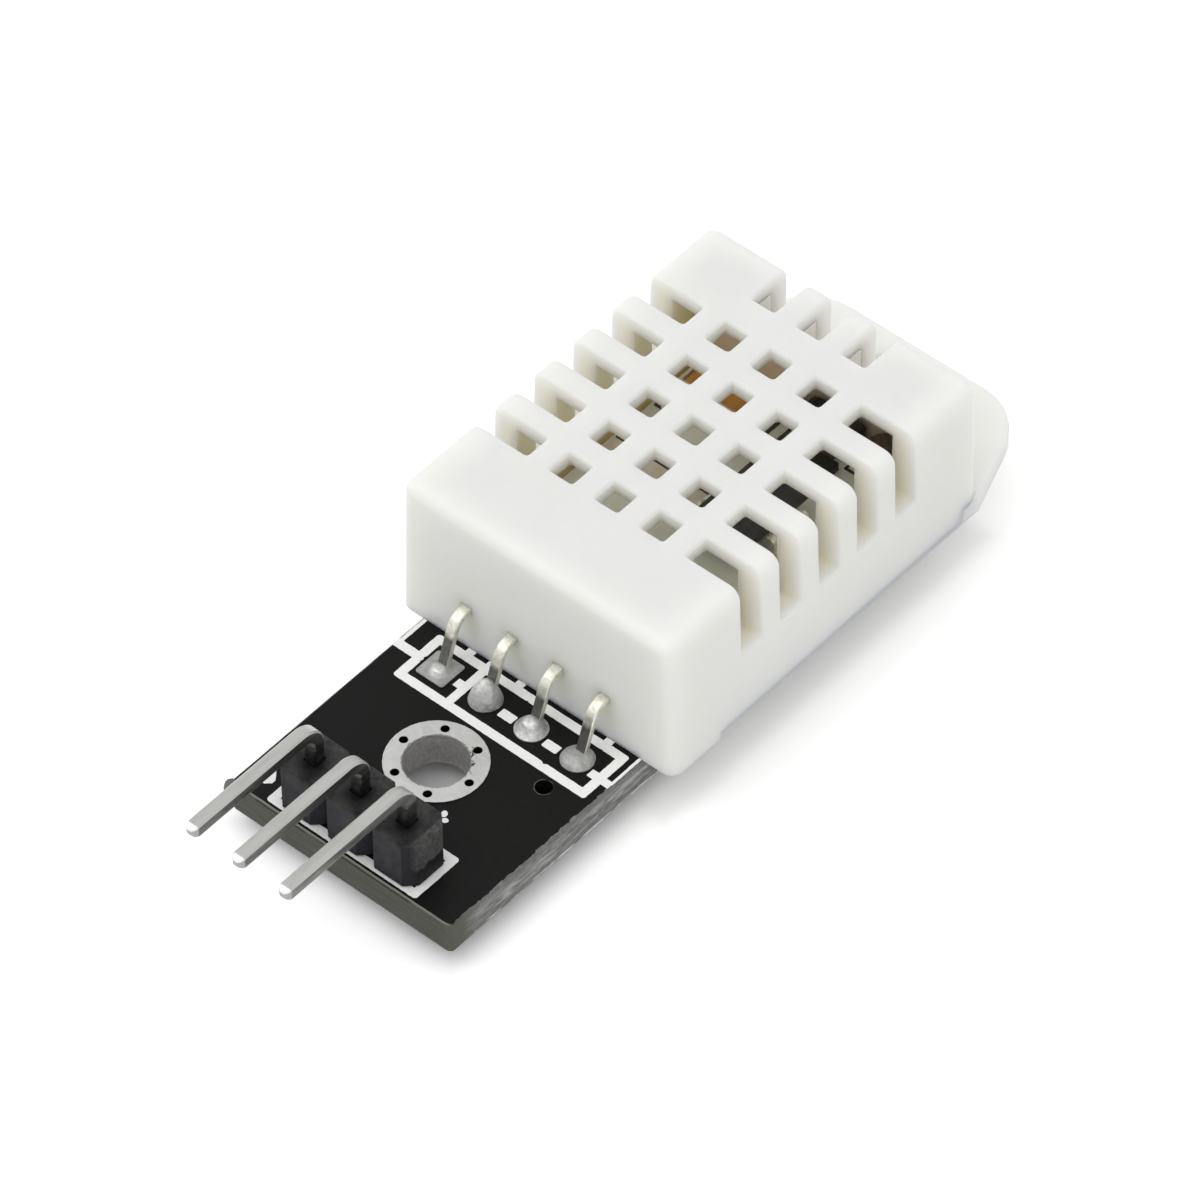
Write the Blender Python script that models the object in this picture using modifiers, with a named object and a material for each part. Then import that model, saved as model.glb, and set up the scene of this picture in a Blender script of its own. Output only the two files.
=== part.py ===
# Temperature and humidity sensor module: a white grille-covered sensor lying on a narrow
# black breakout board, joined to it by four bent leads, with a three-pin header in front.
#
# Metres, +Z up. The origin is on the board's underside, straight below the middle of the
# sensor's lead-side face. +Y runs from there towards the fixing tab, -Y towards the pins.

from math import cos, pi, radians, sin

import bmesh
import bpy
from mathutils import Matrix, Vector
from mathutils.bvhtree import BVHTree

MM = 0.001
SEAT_GAP = 0.02 * MM  # between two pieces that touch
FIT_GAP = 0.06 * MM  # round a piece that slides into another
WELD = 0.00001 * MM
NEAR = 0.0001 * MM  # places closer than this are the same place
THROUGH = 1.0 * MM  # how far a cutter runs past the wall it cuts
SMOOTH_ANGLE = radians(35)

# Breakout board
BOARD_WIDTH = 12.2 * MM
BOARD_THICK = 1.6 * MM
BOARD_FRONT = -11.95 * MM
BOARD_SHORT = 1.0 * MM  # how far it stops short of the sensor's far end
BOARD_SHIFT = -0.25 * MM  # its centre line, from the sensor's
BOARD_CORNER = 0.25 * MM
TOOLING_HOLE = (3.75 * MM, -3.75 * MM)
TOOLING_RADIUS = 0.4 * MM
MASK_DEPTH = 0.03 * MM  # of the openings in the underside's mask, round each joint and part

# Plated mounting hole
MOUNT_HOLE = (-0.54 * MM, -5.62 * MM)
MOUNT_RADIUS = 1.44 * MM
MOUNT_LAND = 2.26 * MM
PLATING = 0.05 * MM
STITCH_COUNT = 6
STITCH_CIRCLE = 1.82 * MM
STITCH_RADIUS = 0.2 * MM

# Sensor housing
SENSOR_WIDTH = 15.2 * MM
SENSOR_LENGTH = 20.0 * MM
SENSOR_HEIGHT = 7.75 * MM
COVER_DRAFT = 0.25 * MM  # what each long side leans in by, from bottom to top
COVER_ROUND = 0.6 * MM
COVER_WALL = 1.1 * MM  # at both ends
SIDE_WALL = 1.55 * MM
COVER_ROOF = 0.8 * MM
MOUTH_ROUND = 0.17 * MM
CUTTER_ROUND = 0.12 * MM

# Grille: columns across, rows along; the outer columns are slots that run down the sides
GRILLE_COLUMNS = 3
GRILLE_HOLE = 1.24 * MM
SLOT_DEPTH = 3.26 * MM  # how far the slots reach in from the sides
SLOT_FLOOR = 3.85 * MM  # height of the slots' lower ends over the sensor's back
ROW_COUNT = 5
FIRST_ROW = 4.56 * MM
END_BAND = 2.94 * MM  # from the grille's last row to the far end
ROW_OPEN = 0.52  # opening of a row, as a part of the rows' pitch
NOTCH_DEPTH = 2.42 * MM  # of the notches in the far end
GRILLE_PITCH = (SENSOR_WIDTH / 2 - SLOT_DEPTH + GRILLE_HOLE / 2) * 2 / (GRILLE_COLUMNS + 1)
ROW_PITCH = (SENSOR_LENGTH - END_BAND - FIRST_ROW) / ROW_COUNT
ROW_HOLE = ROW_PITCH * ROW_OPEN

# Sensor base
BASE_THICK = 1.0 * MM
BASE_INSET = 0.03 * MM  # of its sides, from the cover's
FLANGE_THICK = 0.2 * MM
FLANGE_START = 3.1 * MM
SHELF_DEPTH = 0.1 * MM  # of the shelf across the tab's root that the cover's end wall stands on
TAB_END = 25.1 * MM
TAB_TIP_HALF = 5.75 * MM  # half width where the sloping sides would meet the end
TAB_CORNER = 2.8 * MM
TAB_ROUND = 0.22 * MM
TAB_HOLE_RADIUS = 1.5 * MM
TAB_HOLE_INSET = 2.6 * MM
BOSS_RADIUS = 0.75 * MM
BOSS_HEIGHT = 0.2 * MM
STAKE_RADIUS = 0.38 * MM
STAKE_HEAD = 0.35 * MM
BOSS_INSET = 0.98 * MM  # from the inner board's sides
BOSS_END = 4.45 * MM  # of the last pair, from the inner board's far end
BOSS_CLEAR = 0.3 * MM  # of the first pair, from the ends of the sensor leads

# Circuit board inside the sensor
INNER_THICK = 1.0 * MM
INNER_MARGIN = 0.25 * MM

# Sensor leads
LEAD_COUNT = 4
LEAD_PITCH = 2.54 * MM
LEAD_WIDTH = 0.52 * MM
LEAD_THICK = 0.28 * MM
LEAD_INSIDE = 2.0 * MM  # length that lies on the inner board, past the cover's wall
LEAD_STRAIGHT = 0.05 * MM
LEAD_BEND = 0.85 * MM
LEAD_SLANT = radians(70)
LEAD_KNEE = 0.4 * MM
LEAD_TAIL = 0.8 * MM
LEAD_LEAN = 0.2 * MM  # how far each lead stands off its hole's centre
LEAD_DRILL = 0.58 * MM
LEAD_EDGE = 0.04 * MM
WINDOW_GAP = 0.05 * MM

# Solder joints
LAND_RADIUS = 0.75 * MM
LAND_THICK = 0.05 * MM
SQUARE_LAND = 1.52 * MM
SQUARE_THICK = 0.06 * MM
CONES = (  # height, foot radius and tip radius of the solder on each lead, seen from above
    (0.2 * MM, 0.6 * MM, 0.42 * MM),
    (1.1 * MM, 0.72 * MM, 0.46 * MM),
    (0.7 * MM, 0.71 * MM, 0.4 * MM),
    (0.3 * MM, 0.7 * MM, 0.42 * MM),
)
UNDER_CONE = (0.5 * MM, 0.68 * MM, 0.52 * MM)
CONE_STEPS = 3
CONE_SHOULDER = 0.82  # part of its height where the flank begins
CONE_HOLLOW = 1.6  # how hollow the flank is; 1 is straight

# Pin header
HEADER_COUNT = 3
HEADER_PITCH = 2.54 * MM
HEADER_MIDDLE = -0.38 * MM
HEADER_INSET = 1.57 * MM  # of the row of pins, from the board's front edge
HEADER_DEPTH = 2.5 * MM
HEADER_HEIGHT = 2.5 * MM
HEADER_CHAMFER = 0.5 * MM
HEADER_EDGE = 0.09 * MM
PIN_SIDE = 0.64 * MM
PIN_RISE = 4.58 * MM  # middle of the level run, above the board
PIN_REACH = 7.5 * MM  # from the upright part to the tip
PIN_BEND = 0.87 * MM
PIN_TAIL = 1.0 * MM
PIN_EDGE = 0.08 * MM
PIN_TIP = 0.27 * MM  # length of each tapered end
PIN_BLUNT = 0.4  # size of the tip, as a part of the pin
HEADER_DRILL = 0.62 * MM

# Parts on the inner board, placed from its sides and its far end
CARRIER_INSET = 0.42 * MM
CARRIER_END = 1.75 * MM
CARRIER_WIDE = 3.6 * MM
CARRIER_LONG = 1.7 * MM
CARRIER_TALL = 0.9 * MM
CARRIER_RIM = 0.2 * MM
FILM_DEPTH = 0.25 * MM
CHIP_INSET = 1.49 * MM  # of its outer row of leads
CHIP_END = 5.05 * MM
CHIP_WIDE = 3.0 * MM
CHIP_LONG = 4.4 * MM
CHIP_TALL = 1.3 * MM
CHIP_STANDOFF = 0.12 * MM
CHIP_LEADS = 4  # on each side
CHIP_LEAD_PITCH = 0.95 * MM
CHIP_LEAD_WIDTH = 0.36 * MM
CHIP_LEAD_THICK = 0.2 * MM
CHIP_LEAD_REACH = 0.8 * MM
BEAD_INSET = 1.34 * MM
BEAD_END = 1.2 * MM
BEAD_RADIUS = 0.9 * MM
BEAD_FLAT = 0.8  # height of the bead, as a part of its width
BEAD_LIFT = 1.29 * MM
WIRE_RADIUS = 0.14 * MM
WIRE_SPREAD = 0.45 * MM
SMALL_PARTS = {  # (inset from the right side, from the far end) and (width, length, height)
    "filter_capacitor": ((4.29 * MM, 0.95 * MM), (3.0 * MM, 1.0 * MM, 1.4 * MM)),
    "bias_resistor_1": ((3.99 * MM, 1.9 * MM), (1.2 * MM, 0.6 * MM, 0.7 * MM)),
    "bias_resistor_2": ((3.39 * MM, 2.75 * MM), (1.1 * MM, 0.85 * MM, 0.5 * MM)),
}
UNDER_ROW = 4.5 * MM
UNDER_LONG = 1.25 * MM
UNDER_PARTS = {  # on the board's underside: middle x, width and height
    "pull_up_resistor": (-2.6 * MM, 2.0 * MM, 0.55 * MM),
    "supply_capacitor": (2.0 * MM, 2.0 * MM, 0.7 * MM),
}
SMALL_ROUND = 0.08 * MM
CAPACITOR_ROUND = 0.32 * MM

# Heights and places that follow from the sizes above
UNDER_Z = MASK_DEPTH - SEAT_GAP  # where joints and parts meet the underside
BACK_Z = BOARD_THICK + SEAT_GAP  # the sensor's back lies on the board
TOP_Z = BACK_Z + SENSOR_HEIGHT
ROOF_Z = TOP_Z - COVER_ROOF
PLATE_Z = BACK_Z + BASE_THICK
SHELF_Z = PLATE_Z - SHELF_DEPTH
INNER_Z = PLATE_Z + BOSS_HEIGHT + SEAT_GAP
FLOOR_Z = INNER_Z + INNER_THICK
LEAD_Z = FLOOR_Z + SEAT_GAP + LEAD_THICK / 2
SLOT_Z = BACK_Z + SLOT_FLOOR
INNER_HALF = SENSOR_WIDTH / 2 - SIDE_WALL
INNER_END = SENSOR_LENGTH - COVER_WALL
INNER_BOARD_HALF = INNER_HALF - FIT_GAP - INNER_MARGIN
INNER_BOARD_START = COVER_WALL + INNER_MARGIN
INNER_BOARD_END = INNER_END - INNER_MARGIN


def add_collection(name, hidden):
    made = bpy.data.collections.new(name)
    made.hide_render = hidden
    bpy.context.scene.collection.children.link(made)
    return made


def add_material(name, colour, roughness, metallic=0.0):
    made = bpy.data.materials.new(name)
    made.use_nodes = True
    made.diffuse_color = (*colour, 1)
    shader = made.node_tree.nodes["Principled BSDF"]
    shader.inputs["Base Color"].default_value = (*colour, 1)
    shader.inputs["Roughness"].default_value = roughness
    shader.inputs["Metallic"].default_value = metallic
    return made


for left_over in list(bpy.data.objects):
    bpy.data.objects.remove(left_over, do_unlink=True)

PARTS = add_collection("sensor_module", False)
CUTTERS = add_collection("cutters", True)
GRILLE = add_collection("grille_cutters", True)
WINDOWS = add_collection("lead_window_cutters", True)
DRILLS = add_collection("board_drills", True)

WHITE_PLASTIC = add_material("white_plastic", (0.86, 0.86, 0.82), 0.5)
BLACK_LAMINATE = add_material("black_laminate", (0.014, 0.014, 0.014), 0.42)
BLACK_PLASTIC = add_material("black_plastic", (0.02, 0.02, 0.024), 0.5)
TINNED_COPPER = add_material("tinned_copper", (0.62, 0.62, 0.6), 0.35, 1.0)
SOLDER = add_material("solder", (0.5, 0.5, 0.49), 0.42, 1.0)
INNER_LAMINATE = add_material("inner_laminate", (0.45, 0.47, 0.38), 0.5)
AMBER_FILM = add_material("amber_film", (0.55, 0.25, 0.06), 0.35)
PALE_CERAMIC = add_material("pale_ceramic", (0.7, 0.63, 0.5), 0.5)
CHIP_BLACK = add_material("chip_black", (0.016, 0.016, 0.018), 0.45)
BEAD_EPOXY = add_material("bead_epoxy", (0.06, 0.035, 0.02), 0.3)
PART_CERAMIC = add_material("part_ceramic", (0.3, 0.24, 0.17), 0.5)
RESISTOR_BLACK = add_material("resistor_black", (0.02, 0.02, 0.02), 0.4)


def add_object(name, mesh, material=None, collection=None):
    """A named object: a part if it has a material, and otherwise a hidden cutter."""
    made = bpy.data.objects.new(name, mesh)
    if material is None:
        (collection or CUTTERS).objects.link(made)
        made.hide_render = True
        made.display_type = "WIRE"
    else:
        PARTS.objects.link(made)
        mesh.materials.append(material)
        mesh.shade_smooth()
        mesh.set_sharp_from_angle(angle=SMOOTH_ANGLE)
    return made


def mesh_of(name, shape):
    bmesh.ops.recalc_face_normals(shape, faces=shape.faces)
    mesh = bpy.data.meshes.new(name)
    shape.to_mesh(mesh)
    shape.free()
    return mesh


def box_shape(low, high, rounding=0.0, steps=2):
    low, high = Vector(low), Vector(high)
    shape = bmesh.new()
    place = Matrix.Translation((low + high) / 2) @ Matrix.Diagonal((*(high - low), 1))
    bmesh.ops.create_cube(shape, size=1, matrix=place)
    if rounding:
        round_edges(shape, shape.edges[:], rounding, steps)
    return shape


def round_edges(shape, edges, radius, steps):
    bmesh.ops.bevel(
        shape, geom=edges, offset=radius, segments=steps, profile=0.5, affect="EDGES"
    )


def box(name, low, high, material=None, rounding=0.0, steps=2, collection=None):
    shape = box_shape(low, high, rounding, steps)
    return add_object(name, mesh_of(name, shape), material, collection)


def rod(name, centre, radius, low, high, material=None, sides=24, collection=None):
    """An upright cylinder between two heights."""
    shape = bmesh.new()
    place = Matrix.Translation((*centre, (low + high) / 2))
    bmesh.ops.create_cone(
        shape, cap_ends=True, segments=sides, radius1=radius, radius2=radius, depth=high - low, matrix=place
    )
    return add_object(name, mesh_of(name, shape), material, collection)


def slab_shape(outline, low, high, along="Z"):
    """A flat outline made solid between two places on an axis: (x, y) outlines along Z, (y, z) along X,
    (x, z) along Y."""
    curve = bpy.data.curves.new("outline", "CURVE")
    curve.dimensions = "2D"
    curve.fill_mode = "BOTH"
    curve.extrude = (high - low) / 2
    spline = curve.splines.new("POLY")
    spline.points.add(len(outline) - 1)
    for point, (u, v) in zip(spline.points, outline):
        point.co = (u, v, 0, 1)
    spline.use_cyclic_u = True
    guide = bpy.data.objects.new("outline", curve)
    CUTTERS.objects.link(guide)
    seen = guide.evaluated_get(bpy.context.evaluated_depsgraph_get())
    filled = bpy.data.meshes.new_from_object(seen)
    bpy.data.objects.remove(guide)
    bpy.data.curves.remove(curve)

    shape = bmesh.new()
    shape.from_mesh(filled)
    bpy.data.meshes.remove(filled)
    bmesh.ops.remove_doubles(shape, verts=shape.verts, dist=WELD)
    bmesh.ops.dissolve_limit(
        shape, angle_limit=radians(1), verts=shape.verts, edges=shape.edges
    )
    axes = {
        "Z": ((1, 0, 0), (0, 1, 0), (0, 0, 1)),
        "X": ((0, 1, 0), (0, 0, 1), (1, 0, 0)),
        "Y": ((1, 0, 0), (0, 0, 1), (0, -1, 0)),
    }[along]
    turn = Matrix(axes).transposed().to_4x4()
    shift = Vector([(low + high) / 2 if axis == along else 0 for axis in "XYZ"])
    bmesh.ops.transform(shape, matrix=Matrix.Translation(shift) @ turn, verts=shape.verts)
    return shape


def slab(name, outline, low, high, material=None, along="Z"):
    return add_object(name, mesh_of(name, slab_shape(outline, low, high, along)), material)


def turned(name, profile, centre, material=None, ring=False, sides=32):
    """A profile of (radius, height) points, listed from the top down, turned about an upright axis."""
    edges = [(i, i + 1) for i in range(len(profile) - 1)]
    if ring:
        edges.append((len(profile) - 1, 0))
    mesh = bpy.data.meshes.new(name)
    mesh.from_pydata([(radius, 0, height) for radius, height in profile], edges, [])
    made = add_object(name, mesh, material)
    made.location = (*centre, 0)
    screw = made.modifiers.new("turn", "SCREW")
    screw.steps = sides
    screw.render_steps = sides
    screw.use_smooth_shade = True
    screw.use_merge_vertices = True
    screw.merge_threshold = WELD
    return made


def combine(target, operation, other):
    step = target.modifiers.new(other.name, "BOOLEAN")
    step.operation = operation
    step.solver = "EXACT"
    if isinstance(other, bpy.types.Collection):
        step.operand_type = "COLLECTION"
        step.collection = other
    else:
        step.object = other


def cut(target, *cutters):
    for cutter in cutters:
        combine(target, "DIFFERENCE", cutter)


def join(target, *others):
    for other in others:
        combine(target, "UNION", other)


def rounded(corners, steps=6):
    """The outline of corners (x, y, radius), each rounded by an arc that touches both of its sides."""
    outline = []
    for i, (x, y, radius) in enumerate(corners):
        here = Vector((x, y))
        if not radius:
            outline.append((x, y))
            continue
        before = (Vector(corners[i - 1][:2]) - here).normalized()
        after = (Vector(corners[(i + 1) % len(corners)][:2]) - here).normalized()
        half = before.angle(after) / 2
        centre = here + (before + after).normalized() * radius / sin(half)
        start = here + before * radius * cos(half) / sin(half) - centre
        end = here + after * radius * cos(half) / sin(half) - centre
        sweep = start.angle_signed(end)
        for step in range(steps + 1):
            arm = start.copy()
            arm.rotate(Matrix.Rotation(-sweep * step / steps, 2))
            outline.append(tuple(centre + arm))
    return outline


def walk(start, heading, moves):
    """A bent centre line from ("run", length) and ("turn", radius, angle) moves; turns to the left are
    positive. Gives the points and each point's heading."""
    place = Vector(start)
    line = [(place.copy(), heading)]
    for move in moves:
        if move[0] == "run":
            place = place + Vector((cos(heading), sin(heading))) * move[1]
            line.append((place.copy(), heading))
            continue
        radius, angle = move[1:]
        steps = max(2, round(abs(angle) / radians(13)))
        side = 1 if angle > 0 else -1
        centre = place + Vector((-sin(heading), cos(heading))) * radius * side
        for step in range(1, steps + 1):
            turned_to = heading + angle * step / steps
            place = centre + Vector((sin(turned_to), -cos(turned_to))) * radius * side
            line.append((place.copy(), turned_to))
        heading += angle
    return line


def strip(line, thick):
    """The outline of a strip of this thickness along a bent centre line."""
    left = []
    right = []
    for place, heading in line:
        across = Vector((-sin(heading), cos(heading))) * thick / 2
        left.append(tuple(place + across))
        right.append(tuple(place - across))
    return left + right[::-1]


def row_of(count, pitch, middle=0.0):
    """Places of a row of things at even pitch, centred on the middle."""
    return [middle + (i - (count - 1) / 2) * pitch for i in range(count)]


def lead_moves():
    """The bends of a sensor lead, from inside the sensor down to the tail under the board."""
    drop = LEAD_Z - BOARD_THICK - LEAD_BEND * (1 - cos(LEAD_SLANT))
    drop -= LEAD_KNEE * cos(LEAD_SLANT)
    return [
        ("run", COVER_WALL + LEAD_INSIDE + LEAD_STRAIGHT),
        ("turn", LEAD_BEND, LEAD_SLANT),
        ("run", drop / sin(LEAD_SLANT)),
        ("turn", LEAD_KNEE, pi / 2 - LEAD_SLANT),
        ("run", BOARD_THICK + LEAD_TAIL),
    ]


def lead_line(longer=0.0):
    start = (COVER_WALL + LEAD_INSIDE, LEAD_Z)
    moves = lead_moves()
    moves[-1] = ("run", moves[-1][1] + longer)
    return walk(start, pi, moves)


LEAD_X = row_of(LEAD_COUNT, LEAD_PITCH)
LEAD_FOOT = lead_line()[-1][0].x
LAND_ROW = LEAD_FOOT - LEAD_LEAN
PIN_X = row_of(HEADER_COUNT, HEADER_PITCH, HEADER_MIDDLE)
PIN_Y = BOARD_FRONT + HEADER_INSET


def make_board():
    left = BOARD_SHIFT - BOARD_WIDTH / 2
    right = BOARD_SHIFT + BOARD_WIDTH / 2
    rear = SENSOR_LENGTH - BOARD_SHORT
    outline = rounded(
        [
            (left, BOARD_FRONT, BOARD_CORNER),
            (right, BOARD_FRONT, BOARD_CORNER),
            (right, rear, BOARD_CORNER),
            (left, rear, BOARD_CORNER),
        ],
        steps=3,
    )
    board = slab("breakout_board", outline, 0, BOARD_THICK, BLACK_LAMINATE)
    holes = [("mount_drill", MOUNT_HOLE, MOUNT_RADIUS + PLATING + SEAT_GAP, 36)]
    holes.append(("tooling_drill", TOOLING_HOLE, TOOLING_RADIUS, 16))
    for i, centre in enumerate(stitch_centres()):
        holes.append((f"stitch_drill_{i + 1}", centre, STITCH_RADIUS, 12))
    for i, x in enumerate(LEAD_X):
        holes.append((f"lead_drill_{i + 1}", (x, LAND_ROW), LEAD_DRILL, 16))
    for i, x in enumerate(PIN_X):
        holes.append((f"header_drill_{i + 1}", (x, PIN_Y), HEADER_DRILL, 16))
    for name, centre, radius, sides in holes:
        rod(name, centre, radius, -THROUGH, BOARD_THICK + THROUGH, sides=sides, collection=DRILLS)
    lands = [("mount_opening", MOUNT_HOLE, MOUNT_LAND, 24)]
    joints = [(x, LAND_ROW) for x in LEAD_X] + [(x, PIN_Y) for x in PIN_X]
    for i, centre in enumerate(joints):
        lands.append((f"joint_opening_{i + 1}", centre, LAND_RADIUS, 12))
    for name, centre, radius, sides in lands:
        rod(name, centre, radius + FIT_GAP, -THROUGH, MASK_DEPTH, sides=sides, collection=DRILLS)
    for name, (x, width, height) in UNDER_PARTS.items():
        across, along = width / 2 + FIT_GAP, UNDER_LONG / 2 + FIT_GAP
        low, high = (x - across, UNDER_ROW - along, -THROUGH), (x + across, UNDER_ROW + along, MASK_DEPTH)
        box(f"{name}_opening", low, high, collection=DRILLS)
    cut(board, DRILLS)


def stitch_centres():
    x, y = MOUNT_HOLE
    turns = [2 * pi * i / STITCH_COUNT for i in range(STITCH_COUNT)]
    return [(x + STITCH_CIRCLE * cos(a), y + STITCH_CIRCLE * sin(a)) for a in turns]


def make_plating():
    """The hole's tinned barrel with a flat land on each face of the board."""
    top = BOARD_THICK + SEAT_GAP
    barrel = MOUNT_RADIUS + PLATING
    profile = [
        (MOUNT_RADIUS, top + PLATING),
        (MOUNT_LAND, top + PLATING),
        (MOUNT_LAND, top),
        (barrel, top),
        (barrel, UNDER_Z),
        (MOUNT_LAND, UNDER_Z),
        (MOUNT_LAND, -SEAT_GAP - PLATING),
        (MOUNT_RADIUS, -SEAT_GAP - PLATING),
    ]
    plating = turned("hole_plating", profile, MOUNT_HOLE, TINNED_COPPER, ring=True, sides=36)
    for i, centre in enumerate(stitch_centres()):
        low, high = -THROUGH, BOARD_THICK + THROUGH
        cut(plating, rod(f"stitch_cutter_{i + 1}", centre, STITCH_RADIUS, low, high, sides=12))


def cone_flank(height, radius, tip):
    """Radius and height points of a hollow-flanked cone of solder, from its tip to its foot."""
    flank = [(0, height), (tip * CONE_SHOULDER, height * (1 + CONE_SHOULDER) / 2)]
    for step in range(CONE_STEPS + 1):
        t = step / CONE_STEPS
        fall = height * CONE_SHOULDER * (1 - t) ** CONE_HOLLOW
        flank.append((tip + (radius - tip) * t, fall))
    return flank


def solder_profile(drill, over, under):
    """The section of a joint that fills a drilled hole: a land on each face of the board, with cones."""
    top = BOARD_THICK + SEAT_GAP
    sleeve = drill - SEAT_GAP
    upper = [(radius, top + LAND_THICK + rise) for radius, rise in over]
    lower = [(radius, -SEAT_GAP - LAND_THICK - rise) for radius, rise in under]
    lands = [
        (LAND_RADIUS, top + LAND_THICK),
        (LAND_RADIUS, top),
        (sleeve, top),
        (sleeve, UNDER_Z),
        (LAND_RADIUS, UNDER_Z),
        (LAND_RADIUS, -SEAT_GAP - LAND_THICK),
    ]
    return upper + lands + lower[::-1]


def make_lead(index, x):
    line = lead_line()
    name = f"sensor_lead_{index}"
    half = LEAD_WIDTH / 2
    lead = slab(name, strip(line, LEAD_THICK), x - half, x + half, TINNED_COPPER, along="X")
    edge = lead.modifiers.new("stamped_edges", "BEVEL")
    edge.width = LEAD_EDGE
    edge.segments = 1
    edge.limit_method = "ANGLE"
    edge.angle_limit = radians(60)


def make_lead_solder(index, x):
    profile = solder_profile(LEAD_DRILL, cone_flank(*CONES[index - 1]), cone_flank(*UNDER_CONE))
    joint = turned(f"lead_solder_{index}", profile, (x, LAND_ROW), SOLDER, sides=16)
    if index == 1:
        half = SQUARE_LAND / 2
        foot = BOARD_THICK + SEAT_GAP
        low = (x - half, LAND_ROW - half, foot)
        join(joint, box("square_land", low, (x + half, LAND_ROW + half, foot + SQUARE_THICK)))
    half = LEAD_WIDTH / 2 + SEAT_GAP
    passage = strip(lead_line(THROUGH), LEAD_THICK + 2 * SEAT_GAP)
    cut(joint, slab(f"lead_passage_{index}", passage, x - half, x + half, along="X"))


def pin_line():
    """The pin's centre line, without its tapered ends."""
    start = (PIN_Y, PIN_TIP - PIN_TAIL)
    rise = PIN_TAIL - PIN_TIP + BOARD_THICK + PIN_RISE - PIN_BEND
    moves = [("run", rise), ("turn", PIN_BEND, pi / 2), ("run", PIN_REACH - PIN_BEND - PIN_TIP)]
    return walk(start, pi / 2, moves)


def make_pin(index, x):
    half = PIN_SIDE / 2
    line = pin_line()
    shape = slab_shape(strip(line, PIN_SIDE), x - half, x + half, along="X")
    bmesh.ops.recalc_face_normals(shape, faces=shape.faces)

    def ends():
        tip_y = line[-1][0].x
        foot_z = line[0][0].y
        return [
            face
            for face in shape.faces
            if all(abs(v.co.y - tip_y) < NEAR for v in face.verts)
            or all(abs(v.co.z - foot_z) < NEAR for v in face.verts)
        ]

    end_edges = {edge for face in ends() for edge in face.edges}
    long_edges = [
        edge
        for edge in shape.edges
        if edge not in end_edges and edge.calc_face_angle() > SMOOTH_ANGLE
    ]
    round_edges(shape, long_edges, PIN_EDGE, 1)
    for face in ends():
        taper(shape, face, PIN_TIP, PIN_BLUNT)
    add_object(f"header_pin_{index}", mesh_of("header_pin", shape), TINNED_COPPER)


def taper(shape, face, length, narrow):
    """Draws a flat end out into a blunt point."""
    outward = face.normal.copy()
    middle = face.calc_center_median()
    drawn = bmesh.ops.extrude_face_region(shape, geom=[face])["geom"]
    for item in drawn:
        if isinstance(item, bmesh.types.BMVert):
            item.co = middle + outward * length + (item.co - middle) * narrow
    if face.is_valid:
        bmesh.ops.delete(shape, geom=[face], context="FACES_ONLY")


def pin_passage(name, x, gap):
    half = PIN_SIDE / 2 + gap
    low = (x - half, PIN_Y - half, -PIN_TAIL - THROUGH)
    high = (x + half, PIN_Y + half, BOARD_THICK + HEADER_HEIGHT + THROUGH)
    return box(name, low, high)


def make_header_solder(index, x):
    profile = solder_profile(HEADER_DRILL, [(0, 0)], cone_flank(*UNDER_CONE))
    joint = turned(f"header_solder_{index}", profile, (x, PIN_Y), SOLDER, sides=16)
    cut(joint, pin_passage(f"solder_passage_{index}", x, SEAT_GAP))


def make_header_housing():
    """Three eight-sided blocks in a row, moulded as one, over a pin each."""
    half = HEADER_PITCH / 2
    deep = HEADER_DEPTH / 2
    chamfer = HEADER_CHAMFER
    front = []
    back = []
    for x in PIN_X:
        for dx, dy in ((-half, deep - chamfer), (-half + chamfer, deep), (half - chamfer, deep)):
            front.append((x + dx, PIN_Y - dy))
            back.append((x + dx, PIN_Y + dy))
    front.append((PIN_X[-1] + half, PIN_Y - deep + chamfer))
    back.append((PIN_X[-1] + half, PIN_Y + deep - chamfer))
    foot = BOARD_THICK + LAND_THICK + 2 * SEAT_GAP
    shape = slab_shape(front + back[::-1], foot, foot + HEADER_HEIGHT)
    rims = [
        edge
        for edge in shape.edges
        if all(abs(v.co.z - foot - HEADER_HEIGHT) < NEAR for v in edge.verts)
        and len(edge.link_faces) == 2
        and edge.calc_face_angle() > SMOOTH_ANGLE
    ]
    round_edges(shape, rims, HEADER_EDGE, 2)
    for x in PIN_X[1:]:
        slice_shape(shape, (x - half, 0, 0), (1, 0, 0))
    housing = add_object("header_housing", mesh_of("header_housing", shape), BLACK_PLASTIC)
    for i, x in enumerate(PIN_X):
        cut(housing, pin_passage(f"pin_passage_{i + 1}", x, SEAT_GAP))


def cover_skin():
    """The cover's outside as a closed solid: leaning long sides, rounded upright and upper edges."""
    low = (-SENSOR_WIDTH / 2, 0, BACK_Z)
    high = (SENSOR_WIDTH / 2, SENSOR_LENGTH, TOP_Z)
    shape = box_shape(low, high)
    for vert in shape.verts:
        if vert.co.z > BACK_Z + SENSOR_HEIGHT / 2:
            vert.co.x -= COVER_DRAFT if vert.co.x > 0 else -COVER_DRAFT
    upper = [e for e in shape.edges if max(v.co.z for v in e.verts) > TOP_Z - WELD]
    round_edges(shape, upper, COVER_ROUND, 5)
    for x in row_of(GRILLE_COLUMNS + 1, GRILLE_PITCH):
        slice_shape(shape, (x, 0, 0), (1, 0, 0))
    for row in range(ROW_COUNT + 1):
        slice_shape(shape, (0, FIRST_ROW + ROW_HOLE / 2 + (row - 0.5) * ROW_PITCH, 0), (0, 1, 0))
    return shape


def slice_shape(shape, place, normal):
    """Adds a line of edges round the solid, so that each hole has a face of its own."""
    everything = shape.verts[:] + shape.edges[:] + shape.faces[:]
    bmesh.ops.bisect_plane(shape, geom=everything, plane_co=place, plane_no=normal)


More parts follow.
